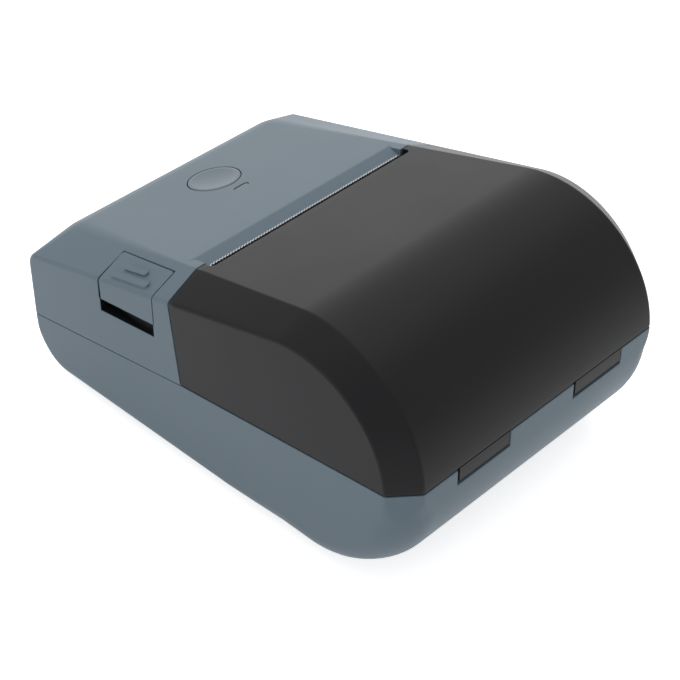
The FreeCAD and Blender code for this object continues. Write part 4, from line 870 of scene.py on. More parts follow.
class ShapeTree:
    """Geometry node tree with named sizes, turned into a plain mesh."""

    def __init__(self, name: str, sizes: dict[str, float], finish: Finish) -> None:
        """Open a tree with one number input for each size."""
        self.tree = bpy.data.node_groups.new(name, "GeometryNodeTree")
        self.finish = finish
        self.sizes = sizes
        face = self.tree.interface
        face.new_socket("Geometry", in_out="INPUT", socket_type="NodeSocketGeometry")
        self.ids = {key: face.new_socket(key, in_out="INPUT", socket_type="NodeSocketFloat").identifier
                    for key in sizes}
        face.new_socket("Geometry", in_out="OUTPUT", socket_type="NodeSocketGeometry")
        self.start = self.tree.nodes.new("NodeGroupInput")
        self.end = self.tree.nodes.new("NodeGroupOutput")

    def size(self, key: str) -> bpy.types.NodeSocket:
        """Socket of a named size."""
        return self.start.outputs[key]

    def node(self, kind: str, settings: dict | None = None, inputs: dict | None = None) -> bpy.types.Node:
        """Add a node.

        Args:
            kind: Node type.
            settings: Properties, set first.
            inputs: Values or links by socket name or number.

        Returns:
            The new node.
        """
        made = self.tree.nodes.new(kind)
        for key, value in (settings or {}).items():
            setattr(made, key, value)
        for key, value in (inputs or {}).items():
            for item in value if isinstance(value, list) else [value]:
                if isinstance(item, bpy.types.NodeSocket):
                    self.tree.links.new(item, made.inputs[key])
                else:
                    made.inputs[key].default_value = item
        return made

    def math(self, operation: str, first: object, second: object = 0.0) -> bpy.types.NodeSocket:
        """Result of one Math node."""
        return self.node("ShaderNodeMath", {"operation": operation}, {0: first, 1: second}).outputs[0]

    def vector(self, x: object = 0.0, y: object = 0.0, z: object = 0.0) -> bpy.types.NodeSocket:
        """Vector of three values."""
        return self.node("ShaderNodeCombineXYZ", {}, {0: x, 1: y, 2: z}).outputs[0]

    def shifted(self, shape: object, offset: object, turn: object = (0.0, 0.0, 0.0),
                scale: object = (1.0, 1.0, 1.0)) -> bpy.types.NodeSocket:
        """Shape moved, turned and scaled.

        Args:
            shape: Geometry socket.
            offset: Translation.
            turn: Rotation about X, Y and Z in radians.
            scale: Scale.

        Returns:
            Geometry socket.
        """
        return self.node("GeometryNodeTransform", {}, {"Geometry": shape, "Translation": offset, "Rotation": turn,
                                                        "Scale": scale}).outputs[0]

    def solve(self, name: str, shape: bpy.types.NodeSocket, base: bpy.types.Mesh, place: Matrix) -> bpy.types.Object:
        """Close the tree and turn its result into a plain object.

        Args:
            name: Name of the object.
            shape: Last geometry socket.
            base: Mesh that the tree starts from.
            place: Frame of the result, in millimetres.

        Returns:
            Object with a plain mesh at the origin.
        """
        whole = self.node("GeometryNodeRealizeInstances", {}, {0: shape})
        dressed = self.node("GeometryNodeSetMaterial", {}, {"Geometry": whole.outputs[0],
                                                             "Material": self.finish.material()})
        self.tree.links.new(dressed.outputs[0], self.end.inputs[0])
        carrier = bpy.data.objects.new(name, base)
        bpy.context.scene.collection.objects.link(carrier)
        step = carrier.modifiers.new("shape", "NODES")
        step.node_group = self.tree
        for key, value in self.sizes.items():
            step[self.ids[key]] = value
        graph = bpy.context.evaluated_depsgraph_get()
        mesh = bpy.data.meshes.new_from_object(carrier.evaluated_get(graph))
        carrier.modifiers.remove(step)
        mesh.transform(Matrix.Translation(place.to_translation() * MM) @ place.to_3x3().to_4x4())
        mesh.shade_smooth()
        mesh.set_sharp_from_angle(angle=math.radians(32))
        carrier.data = mesh
        return carrier


def points_mesh(places: Sequence[Point]) -> bpy.types.Mesh:
    """Mesh of loose points in millimetres."""
    mesh = bpy.data.meshes.new("places")
    mesh.from_pydata([tuple(c * MM for c in p) for p in places], [], [])
    return mesh


# ---------------------------------------------------------------------------
# Casing form
# ---------------------------------------------------------------------------

@dataclass
class Outline:
    """Closed side outline: sloping top, round rear, flat base and round front."""

    slope_deg: float
    centre: tuple[float, float]
    radius: float
    rear: float
    bottom: float
    low_radius: float
    front: float
    top_radius: float
    front_low: float

    def samples(self, counts: Sequence[int]) -> list[tuple[float, float, float, float]]:
        """Points round the outline.

        Args:
            counts: Steps on each of its eight runs.

        Returns:
            Place (y, z) and outward direction (y, z) of each point.
        """
        slope = math.radians(self.slope_deg)
        lean = 90 + self.slope_deg
        up = (-math.sin(slope), math.cos(slope))
        crown = (self.centre[0] + self.radius * up[0], self.centre[1] + self.radius * up[1])
        brow_y = self.front + self.top_radius
        brow = (brow_y, crown[1] - math.tan(slope) * (crown[0] - brow_y) - self.top_radius / math.cos(slope))
        start = (brow[0] + self.top_radius * up[0], brow[1] + self.top_radius * up[1])
        heel = (self.rear - self.low_radius, self.bottom + self.low_radius)
        toe = (self.front + self.front_low, self.bottom + self.front_low)
        runs: list[Callable[[float], tuple[float, float, float, float]]] = [
            self._line(start, crown, up), self._arc(self.centre, self.radius, lean, 0),
            self._line((self.rear, self.centre[1]), (self.rear, heel[1]), (1.0, 0.0)),
            self._arc(heel, self.low_radius, 0, -90),
            self._line((heel[0], self.bottom), (toe[0], self.bottom), (0.0, -1.0)),
            self._arc(toe, self.front_low, -90, -180),
            self._line((self.front, toe[1]), (self.front, brow[1]), (-1.0, 0.0)),
            self._arc(brow, self.top_radius, 180, lean),
        ]
        return [run(k / count) for run, count in zip(runs, counts) for k in range(count)]

    @staticmethod
    def _line(a: tuple[float, float], b: tuple[float, float],
              out: tuple[float, float]) -> Callable[[float], tuple[float, float, float, float]]:
        """Straight run between two places."""
        return lambda t: (a[0] + (b[0] - a[0]) * t, a[1] + (b[1] - a[1]) * t, *out)

    @staticmethod
    def _arc(middle: tuple[float, float], radius: float, start: float,
             end: float) -> Callable[[float], tuple[float, float, float, float]]:
        """Arc between two angles in degrees."""
        def at(t: float) -> tuple[float, float, float, float]:
            """Place and direction at a share of the arc."""
            angle = math.radians(start + (end - start) * t)
            out = (math.cos(angle), math.sin(angle))
            return (middle[0] + radius * out[0], middle[1] + radius * out[1], *out)
        return at


def rounded(corner: Vector, before: Vector, after: Vector, radius: float, limits: tuple[float, float],
            steps: int) -> list[Vector]:
    """Replace a corner by a smooth curve.

    Args:
        corner: The corner.
        before: Unit direction back along the first side.
        after: Unit direction on along the second side.
        radius: Radius of the curve.
        limits: Longest set-back on each side.
        steps: Facets of the curve.

    Returns:
        Points from the first side to the second.
    """
    turn = math.pi - before.angle(after, math.pi)
    setback = min(radius * math.tan(turn / 2), *limits)
    share = 1 - (4 / 3) * math.tan(turn / 4) / max(math.tan(turn / 2), 1e-6)
    a, d = corner + before * setback, corner + after * setback
    b, c = corner + before * setback * share, corner + after * setback * share
    curve = []
    for k in range(steps + 1):
        t = k / steps
        curve.append(a * (1 - t) ** 3 + b * (3 * t * (1 - t) ** 2) + c * (3 * t * t * (1 - t)) + d * t ** 3)
    return curve


def ease(value: float, low: float, high: float) -> float:
    """Smooth share of the way from low to high."""
    t = min(max((value - low) / (high - low), 0.0), 1.0)
    return t * t * (3 - 2 * t)


@dataclass
class CasingForm:
    """Outer form of the whole printer, from which casings, lid and latch are cut; in millimetres."""

    length: float = 114.7
    half_width: float = 40.8
    base: float = 0.8
    wall: float = 1.9
    slope_deg: float = 14.1
    split_y: float = -6.45
    split_z: float = 23.55
    seam_deg: float = 6.5
    case_seam_deg: float = 8.8
    seam_gap: float = 0.42
    case_gap: float = 0.15
    front_gap: float = 0.3
    ridge_half: float = 32.2
    ridge_flare: float = 0.053
    rear_radius: float = 27.64
    rear_centre_z: float = 29.5
    rear_low: float = 25.6
    side_rear_inset: float = 5.45
    side_radius: float = 24.0
    side_centre_z: float = 28.8
    side_low: float = 22.0
    side_low_rise: float = 2.4
    front_turn: float = 0.8
    front_turn_length: float = 12.0
    counts: tuple[int, ...] = (34, 60, 4, 34, 10, 16, 8, 18)
    cached: dict[float, Solid] = field(default_factory=dict)

    @property
    def rear_y(self) -> float:
        """Rear end."""
        return self.length / 2

    @property
    def front_y(self) -> float:
        """Front end."""
        return -self.length / 2

    @property
    def seam_place(self) -> Matrix:
        """Frame on the lid's bottom plane, at the split."""
        return Matrix.Translation((0, self.split_y, self.split_z)) @ Matrix.Rotation(
            math.radians(self.seam_deg), 4, "X")

    @property
    def case_seam_place(self) -> Matrix:
        """Frame on the seam between the two casings, at the split."""
        return Matrix.Translation((0, self.split_y, self.split_z)) @ Matrix.Rotation(
            math.radians(self.case_seam_deg), 4, "X")

    def top_z(self, y: float) -> float:
        """Height of the sloping top."""
        slope = math.radians(self.slope_deg)
        return (self.rear_centre_z + self.rear_radius / math.cos(slope)
                + math.tan(slope) * (y - self.rear_y + self.rear_radius))

    def top_place(self, y: float, x: float = 0.0) -> Matrix:
        """Frame on the sloping top with Z along its normal."""
        return Matrix.Translation((x, y, self.top_z(y))) @ Matrix.Rotation(math.radians(self.slope_deg), 4, "X")

    def ridge_x(self, y: float) -> float:
        """Half width of the top."""
        return self.ridge_half + self.ridge_flare * (y - self.split_y)

    def brow_inset(self, y: float) -> float:
        """Distance that the ridge turns in towards the front corners."""
        return self.front_turn * ease(self.front_y + self.front_turn_length - y, 0.0, self.front_turn_length)

    def seam_z(self, y: float) -> float:
        """Height of the lid's bottom plane."""
        return self.split_z + math.tan(math.radians(self.seam_deg)) * (y - self.split_y)

    def case_seam_z(self, y: float) -> float:
        """Height of the seam between the casings."""
        return self.split_z + math.tan(math.radians(self.case_seam_deg)) * (y - self.split_y)

    def radii(self, y: float, z: float, inset: float) -> tuple[float, float]:
        """Edge radii that grow from crisp beside the lid to soft at the front and low corners.

        Args:
            y: Place of the ridge point.
            z: Height of the ridge point.
            inset: Inset of the form.

        Returns:
            Radius of the side edge and of the ridge.
        """
        forward = self.split_y - y
        under = (self.seam_z(y) if forward < 0 else self.case_seam_z(y)) - z
        low = ease(under, 0.5, 12.0)
        rear = ease(-forward, 15.0, 50.0)
        side = 1.2 + 1.3 * low + 8.0 * low * rear
        ridge = 1.1 + 6.0 * ease(forward, 4.0, 44.0) + (5.0 + 11.0 * rear) * low
        return max(side - inset, 0.3), max(ridge - inset, 0.3)

    def whole(self, inset: float = 0.0) -> Solid:
        """Closed form, drawn in by an inset all over.

        Args:
            inset: Distance inwards, or outwards where negative.

        Returns:
            The form as a closed mesh.
        """
        if inset in self.cached:
            return self.cached[inset]
        run, rise = self.half_width - self.ridge_half, self.rear_radius - self.side_radius
        slant = math.hypot(run, rise)
        side_share, ridge_share = (slant - rise) / run, (slant - run) / rise
        low_share = (math.hypot(run, self.side_low_rise) - self.side_low_rise) / run
        shift = side_share * inset
        side = Outline(
            self.slope_deg, (self.rear_y - self.side_rear_inset - self.side_radius, self.side_centre_z),
            self.side_radius - shift, self.rear_y - self.side_rear_inset - shift,
            self.base + self.side_low_rise + low_share * inset, self.side_low - shift,
            self.front_y + 1.1 + inset, 3.0 - shift, 9.5 - shift)
        top = Outline(
            self.slope_deg, (self.rear_y - self.rear_radius, self.rear_centre_z), self.rear_radius - inset,
            self.rear_y - inset, self.base + inset, self.rear_low - inset, self.front_y + inset, 10.0 - inset,
            11.0 - inset)
        rows = [self._row(a, b, self.half_width - inset, ridge_share * inset, inset)
                for a, b in zip(side.samples(self.counts), top.samples(self.counts))]
        width = len(rows[0])
        points = [p for row in rows for p in row]
        faces: list[tuple[int, ...]] = []
        for j in range(len(rows)):
            following = (j + 1) % len(rows)
            for k in range(width - 1):
                faces.append((j * width + k, j * width + k + 1, following * width + k + 1, following * width + k))
        faces.append(tuple(j * width for j in range(len(rows))))
        faces.append(tuple(j * width + width - 1 for j in reversed(range(len(rows)))))
        self.cached[inset] = Solid(points, faces)
        return self.cached[inset]

    def _row(self, a: tuple[float, ...], b: tuple[float, ...], side_x: float, drawn: float,
             inset: float) -> list[Vector]:
        """One section across the form, from the latch side to the far side.

        Args:
            a: Place and direction on the side outline.
            b: Place and direction on the ridge outline.
            side_x: Half width at the sides.
            drawn: Distance that the ridge is drawn in by.
            inset: Inset of the form.

        Returns:
            Points across the form.
        """
        ridge_x = self.ridge_x(b[0]) - drawn - self.brow_inset(b[0])
        corner_a, corner_b = Vector((side_x, a[0], a[1])), Vector((ridge_x, b[0], b[1]))
        slant = corner_b - corner_a
        reach = slant.length
        slant.normalize()
        side_radius, ridge_radius = self.radii(b[0], b[1], inset)
        inward = Vector((0, -a[2], -a[3]))
        over = Vector((-1, 0, 0))
        near = rounded(corner_a, inward, slant, side_radius, (4.0, 0.45 * reach), 5)
        far = rounded(corner_b, -slant, over, ridge_radius, (0.5 * reach, 9.0), 7)
        between = [near[-1].lerp(far[0], k / 3) for k in (1, 2)]
        half = near + between + far
        mirrored = [Vector((-p.x, p.y, p.z)) for p in reversed(half)]
        middle = [half[-1].lerp(mirrored[0], k / 8) for k in range(1, 8)]
        return half + middle + mirrored


# ---------------------------------------------------------------------------
# Casings and lid
# ---------------------------------------------------------------------------

@dataclass
class Casing:
    """Moulded shell: openings, ribs and bosses of the CAD solid inside the softened outer form."""

    form: CasingForm
    name: str
    node: str
    finish: Finish
    body: Body
    skin: float = 0.03
    rim: float = 0.16
    # Box of a recess whose inside gets painted shade.
    painted_recess_shade: tuple[Point, Point] | None = None

    def shape(self, nodes: dict[str, bpy.types.Object]) -> Solid:
        """Trim the CAD solid to the softened form.

        Args:
            nodes: CAD objects by node name.

        Returns:
            The shell without rounded rims.
        """
        return Solid.of_node(nodes[self.node]).within(self.form.whole(self.skin))

    def build(self, nodes: dict[str, bpy.types.Object]) -> None:
        """Build the shell with rounded rims, and with painted shade inside its recess when a recess box is given.

        Args:
            nodes: CAD objects by node name.
        """
        outer = self.form.whole(self.skin)
        shell = self.shape(nodes).tidy(0.015).soften_rims(outer, self.rim)
        # Painted shade darkens the inside of the recess.
        if self.painted_recess_shade:
            shell.paint_recess_shade(outer, *self.painted_recess_shade)
        piece(self.name, shell, self.finish, self.body, [self.node])


@dataclass
class HingedLid(Casing):
    """Black roll lid with the two flaps that cover its hinge knuckles."""

    flap: tuple[float, float] = (10.4, 25.35)
    flap_low: float = 27.85
    flap_depth: float = 0.9
    flap_gap: float = 0.12

    def shape(self, nodes: dict[str, bpy.types.Object]) -> Solid:
        """Add the flaps to the lid."""
        lid = super().shape(nodes)
        form = self.form
        top = form.seam_z(form.rear_y) + form.seam_gap
        skin = form.whole().cut(form.whole(self.flap_depth))
        for side in (-1, 1):
            x0, x1 = sorted((side * self.flap[0], side * self.flap[1]))
            lid = lid.beside(skin.within(block(x0, x1, form.rear_y - 3, form.rear_y + 1, self.flap_low,
                                               top - self.flap_gap)))
        return lid


# ---------------------------------------------------------------------------
# Latch, button, light, tear bar
# ---------------------------------------------------------------------------

def lip_top(form: CasingForm) -> float:
    """Height of the top along the split plane, in the seam's frame."""
    return (form.top_z(form.split_y) - form.split_z) / math.cos(math.radians(form.seam_deg))


@dataclass
class SideLatch:
    """Latch lever on the side chamfer."""

    form: CasingForm
    front: float = -31.2
    rear: float = -13.9
    gap: float = 0.25
    shell: float = 1.7
    from_ridge: float = 1.9
    top_gap: float = 0.45
    flap_z: float = 34.7
    flap_tilt_deg: float = 7.6
    barrel: float = 0.95
    pin: float = 0.5
    coil: float = 0.8
    spring_room: float = 3.1
    front_slant_deg: float = 14.0
    rib_rise: float = 0.5
    ribs: tuple[tuple[float, float, float, float], ...] = ((36.6, -26.6, -19.6, 1.3), (38.9, -28.4, -16.8, 1.4))

    def flap_line(self, y: float) -> float:
        """Height of the flap's lower edge."""
        return self.flap_z + math.tan(math.radians(self.flap_tilt_deg)) * (y - (self.front + self.rear) / 2)

    def outline(self, gap: float, top_gap: float, corner: float) -> Solid:
        """Upright prism round the lever.

        Args:
            gap: Gap at the front and rear.
            top_gap: Gap on the ridge side.
            corner: Radius of the corners on the ridge side.

        Returns:
            The prism.
        """
        y0, y1 = self.front + gap, self.rear - gap
        far = self.form.half_width + 3
        x0 = self.form.ridge_x(y0) + self.from_ridge + top_gap
        x1 = self.form.ridge_x(y1) + self.from_ridge + top_gap
        turns = [math.radians(15 * k) for k in range(7)]
        flat = [(far, y0), (far, y1)]
        flat += [(x1 + corner * (1 - math.sin(a)), y1 - corner * (1 - math.cos(a))) for a in turns]
        flat += [(x0 + corner * (1 - math.cos(a)), y0 + corner * (1 - math.sin(a))) for a in turns]
        return prism([(x, y, self.flap_line(y)) for x, y in flat], (0, 0, 40))

    def axis(self) -> tuple[Vector, Vector]:
        """Ends of the latch's pin line."""
        form = self.form
        side_top = form.side_centre_z + form.side_radius / math.cos(math.radians(form.slope_deg)) + math.tan(
            math.radians(form.slope_deg)) * -(form.rear_y - form.side_rear_inset - form.side_radius)
        drop = form.top_z(0) - side_top

        def on_chamfer(y: float, across: float) -> Vector:
            """Place on the side chamfer."""
            share = across / (form.half_width - form.ridge_x(y))
            return Vector((form.ridge_x(y) + across, y, form.top_z(y) - drop * share))

        normal = (on_chamfer(0, 0) - on_chamfer(-20, 0)).cross(on_chamfer(-10, 0) - on_chamfer(-10, 5)) * -1
        normal.normalize()
        if normal.z < 0:
            normal = -normal
        across = self.from_ridge + self.barrel + self.gap
        depth = self.barrel + 0.05
        return (on_chamfer(self.front, across) - normal * depth, on_chamfer(self.rear, across) - normal * depth)

    def build(self) -> None:
        """Build the lever with its ribs."""
        form = self.form
        start, end = self.axis()
        along = (end - start).normalized()
        skin = form.whole().cut(form.whole(self.shell)).within(self.outline(-0.1, self.top_gap, 0.6))
        skin = skin.cut(rod(self.coil, self.spring_room + 3, start - along * 3, along))
        in_front = block(0, 90, -90, self.front - self.gap + 0.15, -90, 90)
        turn = (Matrix.Translation(start) @ Matrix.Rotation(math.radians(self.front_slant_deg), 4, along)
                @ Matrix.Translation(-start))
        skin = skin.cut(in_front.moved(turn))
        length = (end - start).length - self.gap - self.spring_room
        lever = skin.add(rod(self.barrel, length, start + along * self.spring_room, along))
        for rib in self.ribs:
            lever = lever.add(self._rib(*rib))
        lever = lever.cut(rod(self.pin + 0.04, 60, start - along * 20, along))
        piece("latch_lever_grip", lever, CASE_GREY, Body.LATCH, ["latch_lever"], bevel_mm=0.12)

    def _rib(self, across: float, y0: float, y1: float, width: float) -> Solid:
        """Raised grip bar with round ends.

        Args:
            across: Place from the middle plane.
            y0: Front end.
            y1: Rear end.
            width: Width.

        Returns:
            The bar.
        """
        place = Matrix.Translation((across, (y0 + y1) / 2, 30)) @ Matrix.Rotation(math.radians(90), 4, "Z")
        bar = obround((y1 - y0 - width) / 2, width / 2, 0, 30, place, 8)
        return bar.within(self.form.whole(-self.rib_rise)).cut(self.form.whole(0.6))


@dataclass
class PowerButton:
    """Round dished power button in its bore."""

    form: CasingForm
    y: float = -38.9
    radius: float = 6.1
    dish: float = 0.5
    flange: float = 7.4

    def build(self) -> None:
        """Build the button as one turned piece."""
        place = self.form.top_place(self.y)
        rim = self.radius - 0.55
        bowl = (rim ** 2 + self.dish ** 2) / (2 * self.dish)
        outline = []
        for k in range(13):
            r = rim * k / 12
            outline.append((r, bowl - self.dish - math.sqrt(bowl ** 2 - r ** 2)))
        outline += [(rim + 0.12, -0.02), (self.radius - 0.22, -0.03), (self.radius - 0.07, -0.1),
                    (self.radius, -0.28), (self.radius, -2.1), (self.flange, -2.1), (self.flange, -2.7), (0, -2.7)]
        piece("power_button_cap", lathe(outline, place, 96), BUTTON_GREY, Body.BUTTON,
              ["power_button"], sharp_deg=40)


@dataclass
class ButtonPad:
    """Silicone ring with a waisted wall that carries the button and gives way under it."""

    form: CasingForm
    y: float = -38.9
    outer: float = 5.6
    inner: float = 4.3
    top: float = -2.7
    board: float = -6.5
    press: float = 0.8

    def build(self) -> None:
        """Build the ring."""
        place = self.form.top_place(self.y)
        height = self.top - self.board
        profile = [(self.inner, self.board), (self.outer, self.board), (self.outer, self.board + 0.7),
                   (self.outer - 0.25, self.board + 0.95), (self.outer - 0.55, self.board + 0.5 * height),
                   (self.outer - 0.25, self.top - 0.85), (self.outer - 0.1, self.top - 0.6),
                   (self.outer - 0.1, self.top), (self.inner + 0.15, self.top),
                   (self.inner + 0.15, self.top - 0.6), (self.inner, self.board + 0.5 * height),
                   (self.inner, self.board)]
        ring = piece("button_ring", lathe(profile, place, 64), SILICONE_GREY, Body.CASE,
                     ["button_pad"], sharp_deg=40)
        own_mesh(ring)


@dataclass
class StatusLight:
    """Oblong light guide in front of the paper slot."""

    form: CasingForm
    y: float = -29.9
    length: float = 3.7
    width: float = 1.0

    def build(self) -> None:
        """Build the light guide with its collar."""
        place = self.form.top_place(self.y)
        half = (self.length - self.width) / 2
        guide = obround(half, self.width / 2, -5.5, -0.2, place)
        guide = guide.add(obround(half, self.width / 2 + 0.8, -2.8, -2.0, place))
        piece("status_light_guide", guide, LIGHT_GUIDE, Body.CASE, ["light_pipe"], bevel_mm=0.08)


@dataclass
class TearBar:
    """Serrated steel bar on the lip."""

    form: CasingForm
    half_length: float = 28.5
    thickness: float = 0.35
    below_top: tuple[float, float] = (4.1, 1.85)
    pitch: float = 0.8
    tooth: float = 0.32

    def build(self) -> None:
        """Build the bar: a strip joined with a row of teeth."""
        top = lip_top(self.form)
        low, high = (top - below for below in self.below_top)
        count = int(2 * self.half_length // self.pitch)
        sizes = {"Length": 2 * self.half_length * MM, "Thickness": self.thickness * MM, "Height": (high - low) * MM,
                 "Pitch": self.pitch * MM, "Tooth": self.tooth * MM, "Count": float(count)}
        tree = ShapeTree("tear_bar_shape", sizes, STEEL)
        strip = tree.node("GeometryNodeMeshCube", {}, {
            "Size": tree.vector(tree.size("Length"), tree.size("Thickness"), tree.size("Height"))})
        prism_node = tree.node("GeometryNodeMeshCylinder", {}, {"Vertices": 3, "Radius": 1.0, "Depth": 1.0})
        third = math.radians(90)
        upright = tree.shifted(prism_node.outputs["Mesh"], (0.0, 0.0, 0.0), (third, 0.0, 0.0))
        spun = tree.shifted(upright, (0.0, 0.0, 0.0), (0.0, math.radians(-90), 0.0))
        wide = tree.math("MULTIPLY", tree.size("Pitch"), 1 / math.sqrt(3) * 0.96)
        tall = tree.math("MULTIPLY", tree.size("Tooth"), 1 / 1.5 * 1.25)
        scale = tree.vector(wide, tree.size("Thickness"), tall)
        start = tree.math("MULTIPLY", tree.math("SUBTRACT", tree.size("Count"), 1.0),
                          tree.math("MULTIPLY", tree.size("Pitch"), -0.5))
        line = tree.node("GeometryNodeMeshLine", {"mode": "OFFSET"}, {
            "Count": tree.size("Count"),
            "Start Location": tree.vector(start, 0.0, tree.math("ADD", tree.math("MULTIPLY", tree.size("Height"), 0.5),
                                                                tree.math("MULTIPLY", tree.size("Tooth"), 0.17))),
            "Offset": tree.vector(tree.size("Pitch"))})
        row = tree.node("GeometryNodeInstanceOnPoints", {}, {"Points": line.outputs[0], "Instance": spun,
                                                             "Scale": scale})
        real = tree.node("GeometryNodeRealizeInstances", {}, {0: row.outputs[0]})
        union = tree.node("GeometryNodeMeshBoolean", {"operation": "UNION", "solver": "EXACT"},
                          {1: [strip.outputs["Mesh"], real.outputs[0]]})
        place = self.form.seam_place @ Matrix.Translation((0, self.thickness / 2, (low + high) / 2))
        bar = tree.solve("tear_bar_blade", union.outputs[0], points_mesh([(0, 0, 0)]), place)
        settle(bar, Body.CASE, ["tear_bar"])


# ---------------------------------------------------------------------------
# Feet, screws and springs
# ---------------------------------------------------------------------------

@dataclass
class Feet:
    """Four rubber feet: two round ones at the rear and two bars at the front."""

    base: float = 0.8
    recess: float = 0.5

    def build(self) -> None:
        """Build the feet with soft edges."""
        top = self.base + self.recess
        round_foot = [(0, 0.1), (1.6, 0.1), (2.0, 0), (3.6, 0), (3.9, 0.12), (4.0, 0.4), (4.0, top), (0, top)]
        shapes = [lathe(round_foot, Matrix.Translation((side * 24.0, 22.0, 0)), 48) for side in (-1, 1)]
        shapes += [obround(5.6, 1.4, 0, top, Matrix.Translation((side * 19.0, -44.2, 0))) for side in (-1, 1)]
        piece("feet", shapes[0].beside(*shapes[1:]), RUBBER_BLACK, Body.CASE, ["rubber_feet"],
              bevel_mm=0.15)


@dataclass
class ScrewSet:
    """Screws of one size at given places, with a hexagon socket in each head."""

    name: str
    node: str
    places: tuple[Point, ...]
    head: tuple[float, float]
    shank: tuple[float, float]
    finish: Finish
    slot: str
    body: Body = Body.CASE
    turn_x_deg: float = 0.0

    def build(self) -> None:
        """Build the set; in its own frame a screw's shank points down."""
        sizes = {"Head radius": self.head[0] * MM, "Head height": self.head[1] * MM,
                 "Shank radius": self.shank[0] * MM, "Shank length": self.shank[1] * MM}
        tree = ShapeTree(self.name + "_shape", sizes, self.finish)
        head_h, shank_l = tree.size("Head height"), tree.size("Shank length")
        head = tree.node("GeometryNodeMeshCylinder", {}, {"Vertices": 24, "Radius": tree.size("Head radius"),
                                                           "Depth": head_h}).outputs["Mesh"]
        head = tree.shifted(head, tree.vector(z=tree.math("MULTIPLY", head_h, 0.5)))
        shank = tree.node("GeometryNodeMeshCylinder", {}, {"Vertices": 16, "Radius": tree.size("Shank radius"),
                                                            "Depth": shank_l}).outputs["Mesh"]
        shank = tree.shifted(shank, tree.vector(z=tree.math("MULTIPLY", shank_l, -0.48)))
        whole = tree.node("GeometryNodeMeshBoolean", {"operation": "UNION", "solver": "EXACT"}, {1: [head, shank]})
        socket = tree.node("GeometryNodeMeshCylinder", {}, {
            "Vertices": 6, "Radius": tree.math("MULTIPLY", tree.size("Head radius"), 0.5),
            "Depth": head_h}).outputs["Mesh"]
        socket = tree.shifted(socket, tree.vector(z=tree.math("MULTIPLY", head_h, 0.9)))
        cut = tree.node("GeometryNodeMeshBoolean", {"operation": "DIFFERENCE", "solver": "EXACT"},
                        {0: whole.outputs[0], 1: socket})
        turned = tree.shifted(cut.outputs[0], (0.0, 0.0, 0.0), (math.radians(self.turn_x_deg), 0.0, 0.0))
        spread = tree.node("GeometryNodeInstanceOnPoints", {}, {"Points": tree.start.outputs["Geometry"],
                                                                 "Instance": turned})
        made = tree.solve(self.name, spread.outputs[0], points_mesh(self.places), Matrix.Identity(4))
        settle(made, self.body, [self.node])


@dataclass
class Springs:
    """Wound compression springs, one coil at each place, along local Z of its frame."""

    name: str
    node: str
    frames: tuple[Matrix, ...]
    radius: float
    wire: float
    length: float
    turns: float
    squash_joint: str = ""
    squash_anchor: float = 0.0
    squash_keep: float = 0.8

    def build(self) -> None:
        """Build the coils and join them into one piece."""
        coils = []
        for index, place in enumerate(self.frames):
            sizes = {"Radius": (self.radius - self.wire) * MM, "Wire": self.wire * MM,
                     "Height": (self.length - 2 * self.wire) * MM, "Turns": self.turns}
            tree = ShapeTree(f"{self.name}_shape_{index}", sizes, STEEL)
            coil = tree.node("GeometryNodeCurveSpiral", {}, {
                "Resolution": 20, "Rotations": tree.size("Turns"), "Start Radius": tree.size("Radius"),
                "End Radius": tree.size("Radius"), "Height": tree.size("Height")})
            ring = tree.node("GeometryNodeCurvePrimitiveCircle", {"mode": "RADIUS"}, {
                "Resolution": 8, "Radius": tree.size("Wire")})
            tube = tree.node("GeometryNodeCurveToMesh", {}, {"Curve": coil.outputs[0],
                                                              "Profile Curve": ring.outputs[0], "Fill Caps": True})
            lifted = tree.shifted(tube.outputs[0], (0.0, 0.0, self.wire * MM))
            coils.append(tree.solve(f"{self.name}_{index}", lifted, points_mesh([(0, 0, 0)]), place))
        work = bmesh.new()
        for coil in coils:
            work.from_mesh(coil.data)
        bmesh.ops.recalc_face_normals(work, faces=work.faces)
        mesh = bpy.data.meshes.new(self.name)
        work.to_mesh(mesh)
        work.free()
        mesh.materials.append(STEEL.material())
        mesh.shade_smooth()
        for coil in coils:
            bpy.data.objects.remove(coil)
        made = bpy.data.objects.new(self.name, mesh)
        bpy.context.scene.collection.objects.link(made)
        settle(made, Body.CASE, [self.node])
        if self.squash_joint:
            self.squash_anchor * MM
            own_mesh(made)


def dress_nodes(nodes: dict[str, bpy.types.Object]) -> None:
    """Give each CAD node that stays its own finish.

    Args:
        nodes: CAD objects by node name.
    """
    for name, finish in NODE_FINISHES.items():
        material = finish.material()
        for holder in nodes[name].material_slots:
            holder.material = material
        log.info("%s: %s", name, finish.name)


# ---------------------------------------------------------------------------
# Studio
# ---------------------------------------------------------------------------

def shown_rays(tree: bpy.types.NodeTree) -> bpy.types.NodeSocket:
    """Socket that is 1 for camera, glossy and transmission rays, which show the white surroundings."""
    path = tree.nodes.new("ShaderNodeLightPath")
    shown = path.outputs["Is Camera Ray"]
    for kind in ("Is Glossy Ray", "Is Transmission Ray"):
        both = tree.nodes.new("ShaderNodeMath")
        both.operation = "MAXIMUM"
        tree.links.new(shown, both.inputs[0])
        tree.links.new(path.outputs[kind], both.inputs[1])
        shown = both.outputs[0]
    return shown


